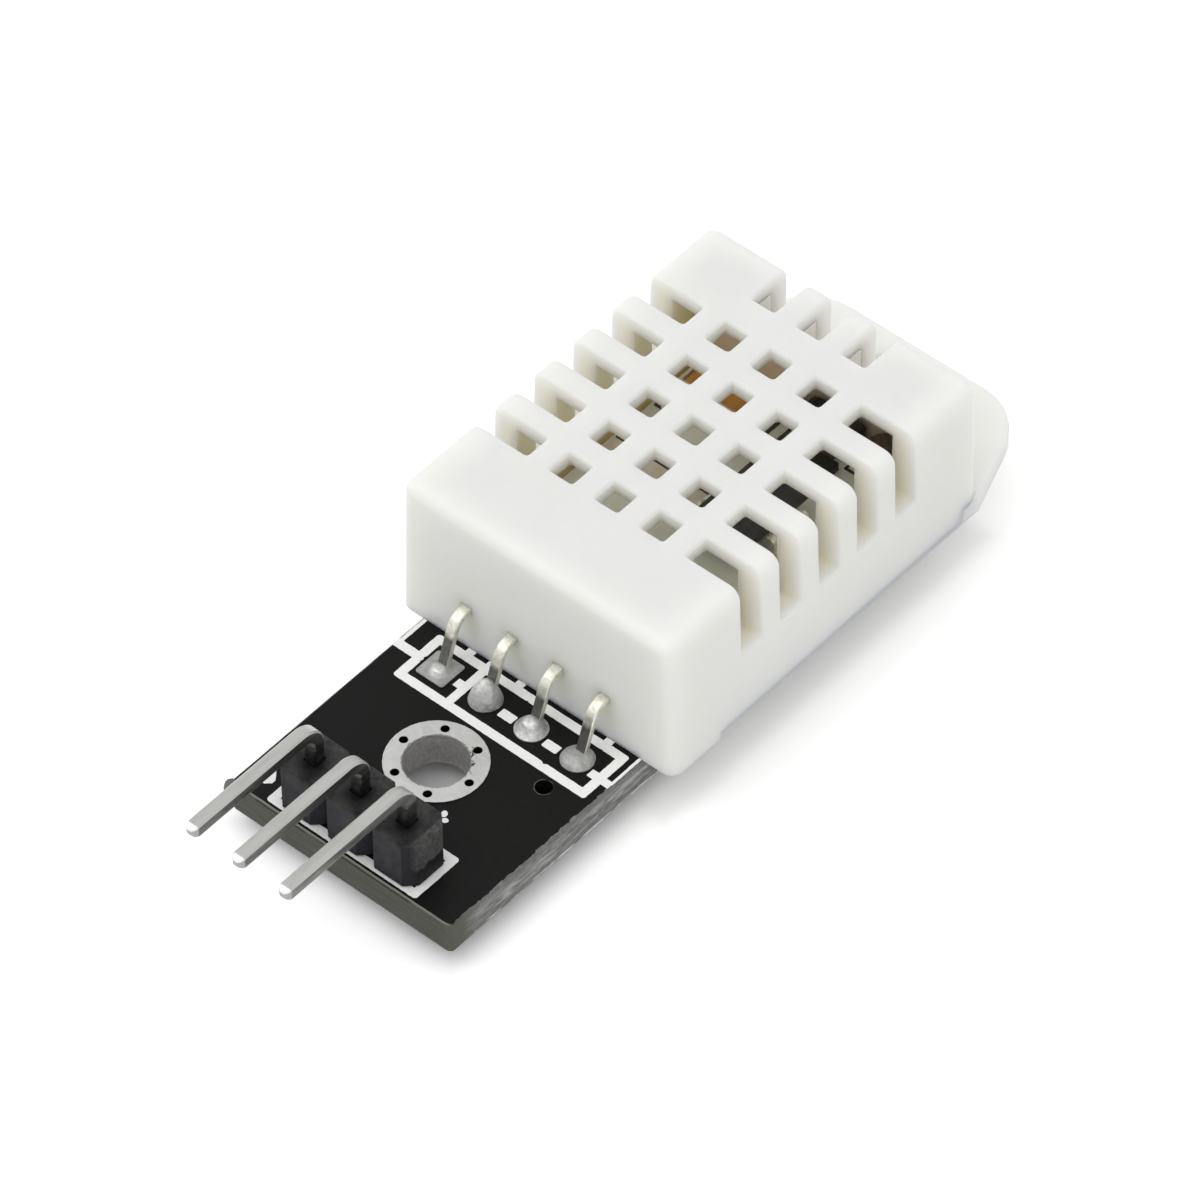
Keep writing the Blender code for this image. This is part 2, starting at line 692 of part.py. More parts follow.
def make_grille_cutters():
    past = SENSOR_WIDTH / 2 + THROUGH
    roof = TOP_Z + THROUGH
    slot_x = SENSOR_WIDTH / 2 - SLOT_DEPTH
    columns = row_of(GRILLE_COLUMNS, GRILLE_PITCH)
    half = GRILLE_HOLE / 2

    def add(name, low, high):
        box(name, low, high, rounding=CUTTER_ROUND, collection=GRILLE)

    for row in range(ROW_COUNT):
        near = FIRST_ROW + row * ROW_PITCH
        far = near + ROW_HOLE
        add(f"left_slot_{row + 1}", (-past, near, SLOT_Z), (-slot_x, far, roof))
        add(f"right_slot_{row + 1}", (slot_x, near, SLOT_Z), (past, far, roof))
        for i, x in enumerate(columns):
            low = (x - half, near, ROOF_Z - THROUGH)
            add(f"hole_{row + 1}_{i + 1}", low, (x + half, far, roof))
    for i, x in enumerate(columns):
        low = (x - half, SENSOR_LENGTH - NOTCH_DEPTH, SLOT_Z)
        add(f"end_notch_{i + 1}", low, (x + half, SENSOR_LENGTH + THROUGH, roof))


def bake(target):
    """Puts the result of the modifiers into the object's own mesh."""
    seen = target.evaluated_get(bpy.context.evaluated_depsgraph_get())
    baked = bpy.data.meshes.new_from_object(seen)
    target.modifiers.clear()
    target.data = baked


def soften_mouths(cover, skin):
    """Rounds the edges where the grille's openings meet the outside of the cover."""
    shape = bmesh.new()
    shape.from_mesh(cover.data)
    bmesh.ops.remove_doubles(shape, verts=shape.verts, dist=WELD)
    mouths = []
    for edge in shape.edges:
        middle = (edge.verts[0].co + edge.verts[1].co) / 2
        on_skin = skin.find_nearest(middle)[3] < NEAR
        above = middle.z > SLOT_Z - MOUTH_ROUND
        if on_skin and above and edge.is_manifold and edge.calc_face_angle() > radians(45):
            mouths.append(edge)
    round_edges(shape, mouths, MOUTH_ROUND, 2)
    shape.to_mesh(cover.data)
    shape.free()
    cover.data.shade_smooth()
    cover.data.set_sharp_from_angle(angle=SMOOTH_ANGLE)


def make_cover():
    skin = cover_skin()
    tree = BVHTree.FromBMesh(skin)
    cover = add_object("sensor_cover", mesh_of("sensor_cover", skin), WHITE_PLASTIC)
    low = (-INNER_HALF, COVER_WALL, BACK_Z - THROUGH)
    cut(cover, box("cavity", low, (INNER_HALF, INNER_END, ROOF_Z)))
    make_grille_cutters()
    cut(cover, GRILLE)
    reach = SENSOR_WIDTH
    root = (-reach, INNER_END, BACK_Z - THROUGH)
    cut(cover, box("tab_recess", root, (reach, SENSOR_LENGTH + reach, SHELF_Z + SEAT_GAP)))
    side = (-reach, FLANGE_START - FIT_GAP, BACK_Z - THROUGH)
    past = (reach, SENSOR_LENGTH + reach, BACK_Z + FLANGE_THICK + SEAT_GAP)
    cut(cover, box("flange_recess", side, past))
    half = LEAD_WIDTH / 2 + WINDOW_GAP
    tall = LEAD_THICK / 2 + WINDOW_GAP
    for i, x in enumerate(LEAD_X):
        low = (x - half, -THROUGH, LEAD_Z - tall)
        high = (x + half, COVER_WALL + THROUGH, LEAD_Z + tall)
        box(f"lead_window_{i + 1}", low, high, collection=WINDOWS)
    cut(cover, WINDOWS)
    bake(cover)
    soften_mouths(cover, tree)


def make_base():
    """The back plate: a tray that fits inside the cover, a thin flange under its walls, and the tab."""
    half = SENSOR_WIDTH / 2 - BASE_INSET
    corners = [
        (-half, INNER_END + FIT_GAP, 0),
        (half, INNER_END + FIT_GAP, 0),
        (half, SENSOR_LENGTH, 0),
        (TAB_TIP_HALF, TAB_END, TAB_CORNER),
        (-TAB_TIP_HALF, TAB_END, TAB_CORNER),
        (-half, SENSOR_LENGTH, 0),
    ]
    shape = slab_shape(rounded(corners), BACK_Z, PLATE_Z)
    rims = [
        edge
        for edge in shape.edges
        if all(v.co.z > PLATE_Z - NEAR for v in edge.verts)
        and all(v.co.y > SENSOR_LENGTH - NEAR for v in edge.verts)
        and edge.calc_face_angle() > SMOOTH_ANGLE
    ]
    round_edges(shape, rims, TAB_ROUND, 3)
    base = add_object("sensor_base", mesh_of("sensor_base", shape), WHITE_PLASTIC)
    tray_half = INNER_HALF - FIT_GAP
    overlap = INNER_END + COVER_WALL / 2
    join(
        base,
        box("tray", (-tray_half, COVER_WALL + FIT_GAP, BACK_Z), (tray_half, overlap, PLATE_Z)),
        box("flange", (-half, FLANGE_START, BACK_Z), (half, overlap, BACK_Z + FLANGE_THICK)),
    )
    for i, (x, y) in enumerate(boss_centres()):
        foot = PLATE_Z - BASE_THICK / 2
        head = FLOOR_Z + STAKE_HEAD
        join(
            base,
            rod(f"boss_{i + 1}", (x, y), BOSS_RADIUS, foot, PLATE_Z + BOSS_HEIGHT, sides=16),
            rod(f"stake_{i + 1}", (x, y), STAKE_RADIUS, foot, head, sides=12),
        )
    root = (-SENSOR_WIDTH, INNER_END, SHELF_Z)
    past = (SENSOR_WIDTH, SENSOR_LENGTH + SEAT_GAP, PLATE_Z + THROUGH)
    cut(base, box("end_shelf", root, past))
    hole = (0, TAB_END - TAB_HOLE_INSET)
    low, high = BACK_Z - THROUGH, PLATE_Z + THROUGH
    cut(base, rod("tab_drill", hole, TAB_HOLE_RADIUS, low, high, sides=40))


def boss_centres():
    across = INNER_BOARD_HALF - BOSS_INSET
    first = COVER_WALL + LEAD_INSIDE + BOSS_CLEAR + BOSS_RADIUS
    return [(x, y) for y in (first, INNER_BOARD_END - BOSS_END) for x in (-across, across)]


def make_inner_board():
    half = INNER_BOARD_HALF
    low = (-half, INNER_BOARD_START, INNER_Z)
    board = box("sensor_board", low, (half, INNER_BOARD_END, FLOOR_Z), INNER_LAMINATE)
    for i, centre in enumerate(boss_centres()):
        radius = STAKE_RADIUS + SEAT_GAP
        low, high = INNER_Z - THROUGH, FLOOR_Z + THROUGH
        cut(board, rod(f"stake_hole_{i + 1}", centre, radius, low, high, sides=12))


def make_humidity_element():
    """A pale carrier with a shallow recess that holds the amber sensing film."""
    foot = FLOOR_Z + SEAT_GAP
    top = foot + CARRIER_TALL
    rear = INNER_BOARD_END - CARRIER_END
    left = CARRIER_INSET - INNER_BOARD_HALF
    low = Vector((left, rear - CARRIER_LONG, foot))
    high = Vector((left + CARRIER_WIDE, rear, top))
    carrier = box("humidity_carrier", low, high, PALE_CERAMIC, SMALL_ROUND, 1)
    rim = Vector((CARRIER_RIM, CARRIER_RIM, 0))
    low = Vector((low.x, low.y, top - FILM_DEPTH)) + rim
    high = Vector((high.x, high.y, top + THROUGH)) - rim
    cut(carrier, box("film_recess", low, high))
    gap = Vector((FIT_GAP, FIT_GAP, SEAT_GAP))
    film_top = top - FILM_DEPTH / 2
    box("humidity_film", low + gap, (high.x - gap.x, high.y - gap.y, film_top), AMBER_FILM)


def make_chip():
    x = INNER_BOARD_HALF - CHIP_INSET - CHIP_LEAD_REACH - CHIP_WIDE / 2
    y = INNER_BOARD_END - CHIP_END - CHIP_LONG / 2
    foot = FLOOR_Z + CHIP_STANDOFF
    low = (x - CHIP_WIDE / 2, y - CHIP_LONG / 2, foot)
    high = (x + CHIP_WIDE / 2, y + CHIP_LONG / 2, foot + CHIP_TALL)
    box("control_chip", low, high, CHIP_BLACK, SMALL_ROUND, 1)
    middle = foot + CHIP_TALL / 2
    rise = middle - CHIP_LEAD_THICK / 2 - FLOOR_Z - SEAT_GAP
    bend = CHIP_LEAD_THICK
    fall = ("run", rise - 2 * bend)
    run = ("run", CHIP_LEAD_REACH / 2 - bend)
    moves = [run, ("turn", bend, -pi / 2), fall, ("turn", bend, pi / 2), run]
    line = walk((CHIP_WIDE / 2 + SEAT_GAP, middle), 0, moves)
    right = [(x + u, v) for u, v in strip(line, CHIP_LEAD_THICK)]
    left = [(x - u, v) for u, v in strip(line, CHIP_LEAD_THICK)]
    half = CHIP_LEAD_WIDTH / 2
    for i, place in enumerate(row_of(CHIP_LEADS, CHIP_LEAD_PITCH, y)):
        low, high = place - half, place + half
        slab(f"chip_lead_{i + 1}", right, low, high, TINNED_COPPER, along="Y")
        slab(f"chip_lead_{2 * CHIP_LEADS - i}", left, low, high, TINNED_COPPER, along="Y")


def make_thermistor():
    """A dipped bead held over the inner board by its two wires."""
    x, y = INNER_BOARD_HALF - BEAD_INSET, INNER_BOARD_END - BEAD_END
    middle = FLOOR_Z + SEAT_GAP + BEAD_LIFT
    steps = 10
    turns = [pi * i / steps for i in range(steps + 1)]
    profile = [(BEAD_RADIUS * sin(a), middle + BEAD_RADIUS * BEAD_FLAT * cos(a)) for a in turns]
    profile[0] = (0, profile[0][1])
    profile[-1] = (0, profile[-1][1])
    bead = turned("thermistor_bead", profile, (x, y), BEAD_EPOXY, sides=16)
    foot = FLOOR_Z + SEAT_GAP
    for i, dx in enumerate((-WIRE_SPREAD, WIRE_SPREAD)):
        at = (x + dx, y)
        rod(f"thermistor_wire_{i + 1}", at, WIRE_RADIUS, foot, middle, TINNED_COPPER, sides=10)
        hole = rod(
            f"wire_hole_{i + 1}", at, WIRE_RADIUS + SEAT_GAP, foot - THROUGH, middle + SEAT_GAP, sides=10
        )
        cut(bead, hole)


def make_small_parts():
    finishes = {
        "filter_capacitor": (RESISTOR_BLACK, CAPACITOR_ROUND),
        "bias_resistor_1": (PART_CERAMIC, SMALL_ROUND),
        "bias_resistor_2": (RESISTOR_BLACK, SMALL_ROUND),
        "pull_up_resistor": (RESISTOR_BLACK, SMALL_ROUND),
        "supply_capacitor": (PART_CERAMIC, SMALL_ROUND),
    }
    for name, ((inset, end), size) in SMALL_PARTS.items():
        place = (INNER_BOARD_HALF - inset, INNER_BOARD_END - end, FLOOR_Z + SEAT_GAP)
        small_box(name, place, size, *finishes[name])
    for name, (x, width, height) in UNDER_PARTS.items():
        foot = (x, UNDER_ROW, UNDER_Z - height)
        small_box(name, foot, (width, UNDER_LONG, height), *finishes[name])


def small_box(name, foot, size, material, rounding):
    half = Vector((size[0] / 2, size[1] / 2, 0))
    low = Vector(foot) - half
    high = Vector(foot) + half + Vector((0, 0, size[2]))
    steps = 1 if rounding == SMALL_ROUND else 2
    box(name, low, high, material, rounding, steps)


make_board()
make_plating()
make_cover()
make_base()
make_inner_board()
make_humidity_element()
make_chip()
make_thermistor()
make_small_parts()
make_header_housing()
for number, place in enumerate(LEAD_X, start=1):
    make_lead(number, place)
    make_lead_solder(number, place)
for number, place in enumerate(PIN_X, start=1):
    make_pin(number, place)
    make_header_solder(number, place)
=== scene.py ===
import functools
import math

import bmesh
import bpy
from mathutils import Matrix, Vector, noise


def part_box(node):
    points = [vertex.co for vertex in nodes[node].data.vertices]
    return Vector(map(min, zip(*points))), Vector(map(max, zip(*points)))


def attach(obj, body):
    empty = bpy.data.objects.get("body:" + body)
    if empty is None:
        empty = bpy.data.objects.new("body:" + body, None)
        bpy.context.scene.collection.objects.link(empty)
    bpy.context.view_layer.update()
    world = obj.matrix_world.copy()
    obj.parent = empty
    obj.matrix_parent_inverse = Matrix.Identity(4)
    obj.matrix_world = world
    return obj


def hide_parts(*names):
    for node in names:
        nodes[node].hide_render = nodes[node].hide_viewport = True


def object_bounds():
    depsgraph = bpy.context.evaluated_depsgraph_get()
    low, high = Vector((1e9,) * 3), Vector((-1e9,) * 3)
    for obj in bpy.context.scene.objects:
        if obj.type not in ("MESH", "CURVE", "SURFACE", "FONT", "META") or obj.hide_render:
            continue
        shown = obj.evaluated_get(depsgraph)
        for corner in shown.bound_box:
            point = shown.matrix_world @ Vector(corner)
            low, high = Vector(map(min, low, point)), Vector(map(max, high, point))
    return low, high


mm = 0.001

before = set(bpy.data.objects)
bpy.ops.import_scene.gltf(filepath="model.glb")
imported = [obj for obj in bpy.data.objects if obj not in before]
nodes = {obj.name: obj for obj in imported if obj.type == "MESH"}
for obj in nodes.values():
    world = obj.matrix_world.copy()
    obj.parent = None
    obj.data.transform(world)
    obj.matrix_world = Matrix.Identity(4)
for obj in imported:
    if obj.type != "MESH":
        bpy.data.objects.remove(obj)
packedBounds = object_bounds()
print("packed module loaded:", len(nodes), "nodes")


def newFinish(name):
    finish = bpy.data.materials.new(name)
    finish.use_nodes = True
    return finish, placeInMm(finish)


def isSocket(value):
    return isinstance(value, bpy.types.NodeSocket)


def link(source, target):
    # a socket knows the node tree that it is in
    target.id_data.links.new(source, target)


def feed(socket, value):
    # a socket takes either a link or a fixed value
    if isSocket(value):
        link(value, socket)
    else:
        socket.default_value = value


def nodeBeside(kind, *values):
    # a new node in the tree of the first socket among the values
    return next(value.id_data for value in values if isSocket(value)).nodes.new(kind)


def placeInMm(finish, stretch=(1, 1, 1)):
    # object coordinates are metres in the module's own frame, so noise scales read in 1/mm
    tree = finish.node_tree
    coords = tree.nodes.new("ShaderNodeTexCoord")
    stretched = tree.nodes.new("ShaderNodeVectorMath")
    stretched.operation = "MULTIPLY"
    stretched.inputs[1].default_value = [s / mm for s in stretch]
    link(coords.outputs["Object"], stretched.inputs[0])
    return stretched.outputs[0]


def axesOf(place):
    split = nodeBeside("ShaderNodeSeparateXYZ", place)
    link(place, split.inputs[0])
    return split.outputs[0], split.outputs[1], split.outputs[2]


def facingOf(finish):
    return axesOf(finish.node_tree.nodes.new("ShaderNodeNewGeometry").outputs["Normal"])


def grain(place, scale, detail=3.0, rough=0.55, warp=0.0):
    tex = nodeBeside("ShaderNodeTexNoise", place)
    tex.inputs["Scale"].default_value = scale
    tex.inputs["Detail"].default_value = detail
    tex.inputs["Roughness"].default_value = rough
    tex.inputs["Distortion"].default_value = warp
    link(place, tex.inputs["Vector"])
    return tex.outputs["Fac"]


def grey(level):
    return (level, level, level)


def ramp(value, stops, ease=False):
    node = nodeBeside("ShaderNodeValToRGB", value)
    band = node.color_ramp
    if ease:
        band.interpolation = "EASE"
    while len(band.elements) < len(stops):
        band.elements.new(0.5)
    for element, (at, colour) in zip(band.elements, stops):
        element.position = at
        element.color = (*colour, 1)
    link(value, node.inputs[0])
    return node.outputs[0]


def patches(low, high, place, *grained, start=0, ease=False):
    # noise turned into patches: start below low and 1 above high
    return ramp(grain(place, *grained), [(low, grey(start)), (high, grey(1))], ease)


def between(value, low, high):
    # 0 below low, 1 above high, or the other way round where low is the larger
    node = nodeBeside("ShaderNodeMapRange", value)
    node.inputs["From Min"].default_value = low
    node.inputs["From Max"].default_value = high
    link(value, node.inputs["Value"])
    return node.outputs["Result"]


def blend(factor, first, second):
    node = nodeBeside("ShaderNodeMix", factor, first, second)
    node.data_type = "RGBA"
    link(factor, node.inputs["Factor"])
    for name, value in (("A", first), ("B", second)):
        feed(node.inputs[name], value if isSocket(value) else (*value, 1))
    return node.outputs["Result"]


def maths(how, *values):
    node = nodeBeside("ShaderNodeMath", *values)
    node.operation = how
    for socket, value in zip(node.inputs, values):
        feed(socket, value)
    return node.outputs[0]


def times(*values):
    return functools.reduce(lambda a, b: maths("MULTIPLY", a, b), values)


def least(*values):
    return functools.reduce(lambda a, b: maths("MINIMUM", a, b), values)


def most(*values):
    return functools.reduce(lambda a, b: maths("MAXIMUM", a, b), values)


def minus(first, second):
    return maths("SUBTRACT", first, second)


def sizeOf(value):
    return maths("ABSOLUTE", value)


def scaled(value, by, start):
    return maths("MULTIPLY_ADD", value, by, start)


def diagonal(across, along):
    return maths("SQRT", scaled(across, across, times(along, along)))


def settle(finish, colour, roughness, *layers, metallic=0.0, specular=0.5):
    # layers are (height, depth in mm), chained from the coarsest to the finest
    sockets = finish.node_tree.nodes["Principled BSDF"].inputs
    feed(sockets["Base Color"], colour)
    feed(sockets["Roughness"], roughness)
    feed(sockets["Metallic"], metallic)
    feed(sockets["Specular IOR Level"], specular)
    before = None
    for height, depth in layers:
        bump = nodeBeside("ShaderNodeBump", height)
        bump.inputs["Distance"].default_value = depth * mm
        link(height, bump.inputs["Height"])
        if before:
            link(before, bump.inputs["Normal"])
        before = bump.outputs["Normal"]
    link(before, sockets["Normal"])
    return finish


def whitePlastic(name, paintedDepthShade, scatter):
    look = {
        "colour": (0.868, 0.872, 0.832),
        "shade": (0.85, 0.854, 0.808),
        "speck": (0.6, 0.58, 0.52),
        "specular": 0.35,
        "scatterDepth": 1.6 * mm,
        "scatterShares": (1.0, 0.95, 0.8),
        # the cover's skin, in mm: half width at the foot, lean of the sides, top and far end
        "half": 7.652,
        "lean": -0.0323,
        "top": 9.37,
        "far": 20.0,
        # painted shade: colours that turn warmer and darker further below the skin,
        # standing in for light filtered through the plastic: (mm below the skin, colour)
        "inward": [
            (0.25, (0.87, 0.87, 0.82)),
            (0.8, (0.92, 0.885, 0.77)),
            (1.6, (0.97, 0.84, 0.67)),
            (3.0, (0.98, 0.76, 0.54)),
        ],
        "reach": 4.0,
        # the front face is warmer low down, and tinted round the leads
        "frontUnder": (0.4, 0.1),
        "low": (0.88, 0.88, 0.82),
        "lowUnder": (6.5, 3.5),
        "leads": (-3.81, -1.27, 1.27, 3.81),
        "leadHeight": 3.7,
        "halo": (0.8, 0.82, 0.62),
        "haloWithin": (0.95, 0.2),
        # the pockets behind the end notches are thin, so they are painted pale in place of the depth shade
        "pocket": (0.9, 0.885, 0.84),
        "pocketBehind": (17.6, 17.7),
        "pocketOver": (6.9, 7.1),
    }
    finish, place = newFinish(name)
    colour = blend(patches(0.3, 0.7, place, 0.22, 3, ease=True), look["colour"], look["shade"])
    if paintedDepthShade:
        x, y, z = axesOf(place)
        side = minus(scaled(z, look["lean"], look["half"]), sizeOf(x))
        depth = least(side, minus(look["top"], z), y, minus(look["far"], y))
        # painted shade: deeper inside the cover the colour turns warmer and darker
        stops = [(at / look["reach"], tone) for at, tone in look["inward"]]
        inward = ramp(maths("DIVIDE", depth, look["reach"]), stops)
        front = between(y, *look["frontUnder"])
        colour = blend(times(front, between(z, *look["lowUnder"])), colour, look["low"])
        nearest = least(*(sizeOf(minus(x, at)) for at in look["leads"]))
        rise = times(sizeOf(minus(z, look["leadHeight"])), 0.7)
        halo = times(between(diagonal(nearest, rise), *look["haloWithin"]), 0.6)
        colour = blend(times(front, halo), colour, look["halo"])
        # painted light: the thin pockets behind the end notches stay pale
        thin = times(between(y, *look["pocketBehind"]), between(z, *look["pocketOver"]))
        colour = blend(between(depth, 0.15, 0.35), colour, blend(thin, inward, look["pocket"]))
    colour = blend(times(patches(0.7, 0.78, place, 7.0, 2), 0.08), colour, look["speck"])
    fine = grain(place, 9.0, 4, 0.6)
    layers = (grain(place, 0.9, 2), 0.01), (fine, 0.006)
    sockets = finish.node_tree.nodes["Principled BSDF"].inputs
    sockets["Subsurface Weight"].default_value = scatter
    sockets["Subsurface Radius"].default_value = look["scatterShares"]
    sockets["Subsurface Scale"].default_value = look["scatterDepth"]
    return settle(finish, colour, scaled(fine, 0.16, 0.42), *layers, specular=look["specular"])


def solderMask():
    look = {"colour": (0.0065, 0.0065, 0.0062), "dust": (0.045, 0.043, 0.04), "specular": 0.13}
    finish, place = newFinish("black solder mask")
    dust = patches(0.66, 0.75, place, 5.5, 4, 0.6)
    colour = blend(times(dust, 0.3), look["colour"], look["dust"])
    peel = grain(place, 3.2, 3, 0.5)
    fine = grain(place, 14.0, 3, 0.6)
    layers = (peel, 0.008), (fine, 0.003)
    return settle(finish, colour, scaled(peel, 0.2, 0.36), *layers, specular=look["specular"])


def cutLaminate():
    look = {
        "glass": (0.098, 0.104, 0.082),
        "resin": (0.052, 0.057, 0.044),
        "burn": (0.012, 0.012, 0.011),
        "lip": (0.2, 0.205, 0.18),
        "milled": (0.145, 0.145, 0.14),
        "streak": (0.5, 0.5, 0.48),
        "foot": (0.72, 0.72, 0.7),
        "nub": (0.17, 0.17, 0.165),
        # where these fade in, in mm: (none of it, all of it)
        "burnOver": (1.42, 1.46),
        "burnUnder": (1.54, 1.5),
        "burnLeftOf": (3.8, 3.7),
        "lipOver": (1.52, 1.56),
        "paintedCornerLightLeftOf": (-6.1, -6.2),
        "streakUnder": (1.45, 0.95),
        "streakOver": (0.2, 0.6),
        "footUnder": (0.14, 0.06),
        "glassAhead": (-10.2, -11.2),
        "milledRightOf": (5.5, 5.75),
    }
    finish, place = newFinish("sawn laminate edge")
    x, y, z = axesOf(place)
    ply = patches(0.35, 0.65, placeInMm(finish, (0.5, 0.5, 5.0)), 1.0, 3, 0.55)
    weave = patches(0.38, 0.7, placeInMm(finish, (5.0, 5.0, 6.0)), 1.0, 4, 0.7)
    sawn = blend(scaled(ply, 0.55, 0.25), look["resin"], look["glass"])
    # a pale lip and a scorched line under the black face, at the front
    line = least(
        between(z, *look["burnOver"]), between(z, *look["burnUnder"]), between(x, *look["burnLeftOf"])
    )
    breaks = patches(0.42, 0.5, placeInMm(finish, (0.9, 0.2, 0.2)), 1.0, 3, 0.6)
    sawn = blend(between(z, *look["lipOver"]), sawn, look["lip"])
    sawn = blend(times(line, breaks), sawn, look["burn"])
    # painted light: the left end and its nub are paler, as a rounded corner catching the light
    sawn = blend(times(between(x, *look["paintedCornerLightLeftOf"]), 0.85), sawn, look["nub"])
    # the routed side: streaks that run along it, brightest half way up, and a bright foot
    drift = placeInMm(finish, (1.0, 0.55, 3.6))
    long = patches(0.44, 0.66, drift, 1.0, 5, 0.62, 0.4)
    short = patches(0.4, 0.75, placeInMm(finish, (2.0, 2.6, 6.0)), 1.0, 4, 0.7)
    height = least(between(z, *look["streakUnder"]), between(z, *look["streakOver"]))
    foot = times(between(z, *look["footUnder"]), patches(0.46, 0.54, drift, 1.4, 3))
    routed = blend(times(short, 0.35), look["milled"], look["streak"])
    routed = blend(times(long, height), routed, look["streak"])
    routed = blend(foot, routed, look["foot"])
    routed = blend(between(y, *look["glassAhead"]), routed, look["glass"])
    colour = blend(between(x, *look["milledRightOf"]), sawn, routed)
    return settle(finish, colour, 0.75, (ply, 0.012), (weave, 0.014), specular=0.3)


def silkInk():
    look = {"colour": (0.93, 0.93, 0.925), "thin": (0.82, 0.82, 0.81)}
    finish, place = newFinish("white legend ink")
    colour = blend(patches(0.55, 0.8, place, 6.0, 4, 0.65), look["colour"], look["thin"])
    return settle(finish, colour, 0.6, (grain(place, 10.0, 3), 0.006), specular=0.3)


def ringTin():
    look = {
        "centre": (-0.54, -5.62),
        "bore": 1.44,
        "colour": (0.7, 0.7, 0.69),
        "dull": (0.62, 0.62, 0.61),
        "barrel": (0.5, 0.49, 0.475),
        "patina": (0.3, 0.294, 0.28),
        "burr": (0.09, 0.087, 0.08),
        "fleck": (0.85, 0.85, 0.84),
        # (from, to) distances outside the bore
        "burrOver": (-0.1, -0.06),
        "topOver": (0.01, 0.03),
        "tornUnder": (0.3, 0.2),
    }
    finish, place = newFinish("hot tinned ring")
    x, y, z = axesOf(place)
    across, along = minus(x, look["centre"][0]), minus(y, look["centre"][1])
    outside = minus(diagonal(across, along), look["bore"])
    patch = patches(0.38, 0.66, place, 1.6, 4, 0.6, 0.6)
    rough = grain(place, 5.0, 4, 0.7)
    colour = blend(patch, look["colour"], look["dull"])
    colour = blend(between(scaled(rough, -0.22, outside), *look["burrOver"]), look["burr"], colour)
    # torn plating on the side away from the header
    torn = least(between(across, 0.3, 0.8), between(along, 0.3, 0.7), between(outside, *look["tornUnder"]))
    flecks = patches(0.52, 0.56, place, 4.5, 3, 0.6, 0.5)
    colour = blend(times(torn, flecks), colour, look["burr"])
    barrel = blend(between(rough, 0.35, 0.68), look["patina"], look["barrel"])
    bright = times(between(rough, 0.66, 0.7), between(z, 1.2, 1.5))
    barrel = blend(bright, barrel, look["fleck"])
    onTop = between(outside, *look["topOver"])
    colour = blend(onTop, barrel, colour)
    layers = (patch, 0.012), (rough, 0.01)
    return settle(finish, colour, scaled(rough, 0.3, 0.3), *layers, metallic=scaled(onTop, 0.8, 0.2))


def solderTin():
    look = {
        "colour": (0.54, 0.54, 0.525),
        "dull": (0.4, 0.4, 0.39),
        "bright": (0.98, 0.98, 0.97),
        "brightOver": (1.5, 1.6),
        # painted highlights: bright places painted onto the joints' tops: (x, y, reach, strength)
        "spots": [(-3.78, -1.9, 0.42, 0.9), (-1.35, -1.85, 0.95, 0.8), (1.33, -2.0, 0.75, 1.0)],
    }
    finish, place = newFinish("tin solder")
    x, y, z = axesOf(place)
    patch = patches(0.38, 0.66, place, 2.8, 5, 0.65, 0.6)
    colour = blend(patch, look["colour"], look["dull"])
    grainy = patches(0.36, 0.6, place, 4.2, 4, 0.65, start=0.35)
    # painted highlights on the joints
    for atX, atY, reach, strength in look["spots"]:
        near = between(diagonal(minus(x, atX), minus(y, atY)), reach, reach * 0.25)
        share = times(near, strength, grainy, between(z, *look["brightOver"]))
        colour = blend(share, colour, look["bright"])
    fine = grain(place, 8.0, 4, 0.65)
    return settle(finish, colour, scaled(fine, 0.25, 0.45), (patch, 0.02), (fine, 0.012), metallic=0.9)


def leadTin():
    look = {
        "bend": (0.86, 0.85, 0.76),
        "olive": (0.5, 0.47, 0.33),
        "upright": (0.22, 0.22, 0.21),
        "dark": (0.13, 0.13, 0.12),
        "cut": (0.74, 0.72, 0.62),
        "bendOver": (3.25, 3.55),
    }
    finish, place = newFinish("tinned sensor leads")
    patch = patches(0.46, 0.7, place, 2.6, 4, 0.65, 0.6)
    drawn = patches(0.35, 0.7, placeInMm(finish, (5.0, 5.0, 0.8)), 1.0, 3, 0.6)
    bend = blend(times(patch, 0.7), look["bend"], look["olive"])
    upright = blend(drawn, look["upright"], look["dark"])
    # painted highlight: the faces that look towards +x are pale
    upright = blend(between(facingOf(finish)[0], 0.5, 0.8), upright, look["cut"])
    wavy = scaled(grain(place, 1.6, 3), 0.5, axesOf(place)[2])
    colour = blend(between(wavy, *look["bendOver"]), upright, bend)
    fine = grain(place, 9.0, 3, 0.6)
    return settle(finish, colour, scaled(fine, 0.2, 0.34), (patch, 0.008), (fine, 0.004), metallic=0.85)


